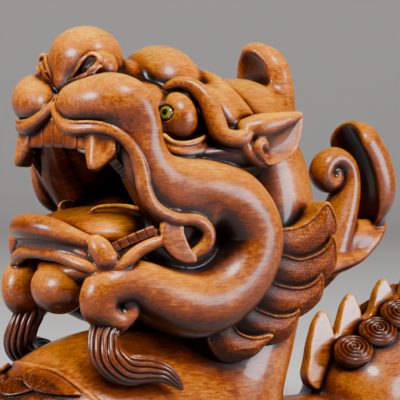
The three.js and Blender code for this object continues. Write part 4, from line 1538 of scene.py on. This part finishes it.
class PIXIU_OT_eyes(bpy.types.Operator):
    """Sets the glass eye inlays"""
    bl_idname = "pixiu.eyes"
    bl_label = "Set the glass eyes"

    def execute(self, context):
        material = glass()
        for side, mirror in (("left", False), ("right", True)):
            piece = lens("glass_" + side, mirror)
            wear(piece, material)
            rest_on_root(piece, GLASS_SLOT, "glass_eye_" + side)
        return {"FINISHED"}


class PIXIU_OT_patina_and_shade(bpy.types.Operator):
    """Lets stain and painted shade gather in the grooves and hollows of all the wood"""
    bl_idname = "pixiu.patina"
    bl_label = "Gather the patina and shade"

    def execute(self, context):
        pieces = [piece for piece in bpy.data.objects
                  if piece.type == "MESH" and any(worn.name in WOODS for worn in piece.data.materials)]
        gather_patina_and_shade(pieces, PATINA_AND_SHADE_CELL * (1))
        return {"FINISHED"}


class PIXIU_OT_stage(bpy.types.Operator):
    """Sets the floor, the lights and the camera"""
    bl_idname = "pixiu.stage"
    bl_label = "Set the stage"

    def execute(self, context):
        set_stage(context.scene.pixiu_studio)
        return {"FINISHED"}


OPERATORS = (
    PIXIU_OT_trunk, PIXIU_OT_head, PIXIU_OT_locks, PIXIU_OT_strands, PIXIU_OT_teeth, PIXIU_OT_ornament,
    PIXIU_OT_eyes, PIXIU_OT_patina_and_shade, PIXIU_OT_stage,
)


class PIXIU_PT_panel(bpy.types.Panel):
    bl_label = "Carved pixiu bust"
    bl_space_type = "VIEW_3D"
    bl_region_type = "UI"
    bl_category = "Pixiu"

    def draw(self, context):
        scene = context.scene
        for group in (scene.pixiu_sizes, scene.pixiu_stain, scene.pixiu_studio):
            box = self.layout.box()
            for name in group.__annotations__:
                box.prop(group, name)
        for operator in OPERATORS:
            self.layout.operator(operator.bl_idname)


GROUPS = {"pixiu_sizes": PixiuSizes, "pixiu_stain": PixiuStainAndShade, "pixiu_studio": PixiuStudio}


def register():
    for part in (*GROUPS.values(), *OPERATORS, PIXIU_PT_panel):
        bpy.utils.register_class(part)
    for name, group in GROUPS.items():
        setattr(bpy.types.Scene, name, PointerProperty(type=group))


def unregister():
    for name in GROUPS:
        delattr(bpy.types.Scene, name)
    for part in reversed((*GROUPS.values(), *OPERATORS, PIXIU_PT_panel)):
        bpy.utils.unregister_class(part)


def main():
    register()
    for operator in OPERATORS:
        getattr(bpy.ops.pixiu, operator.bl_idname.split(".")[1])()


if __name__ == "__main__":
    main()
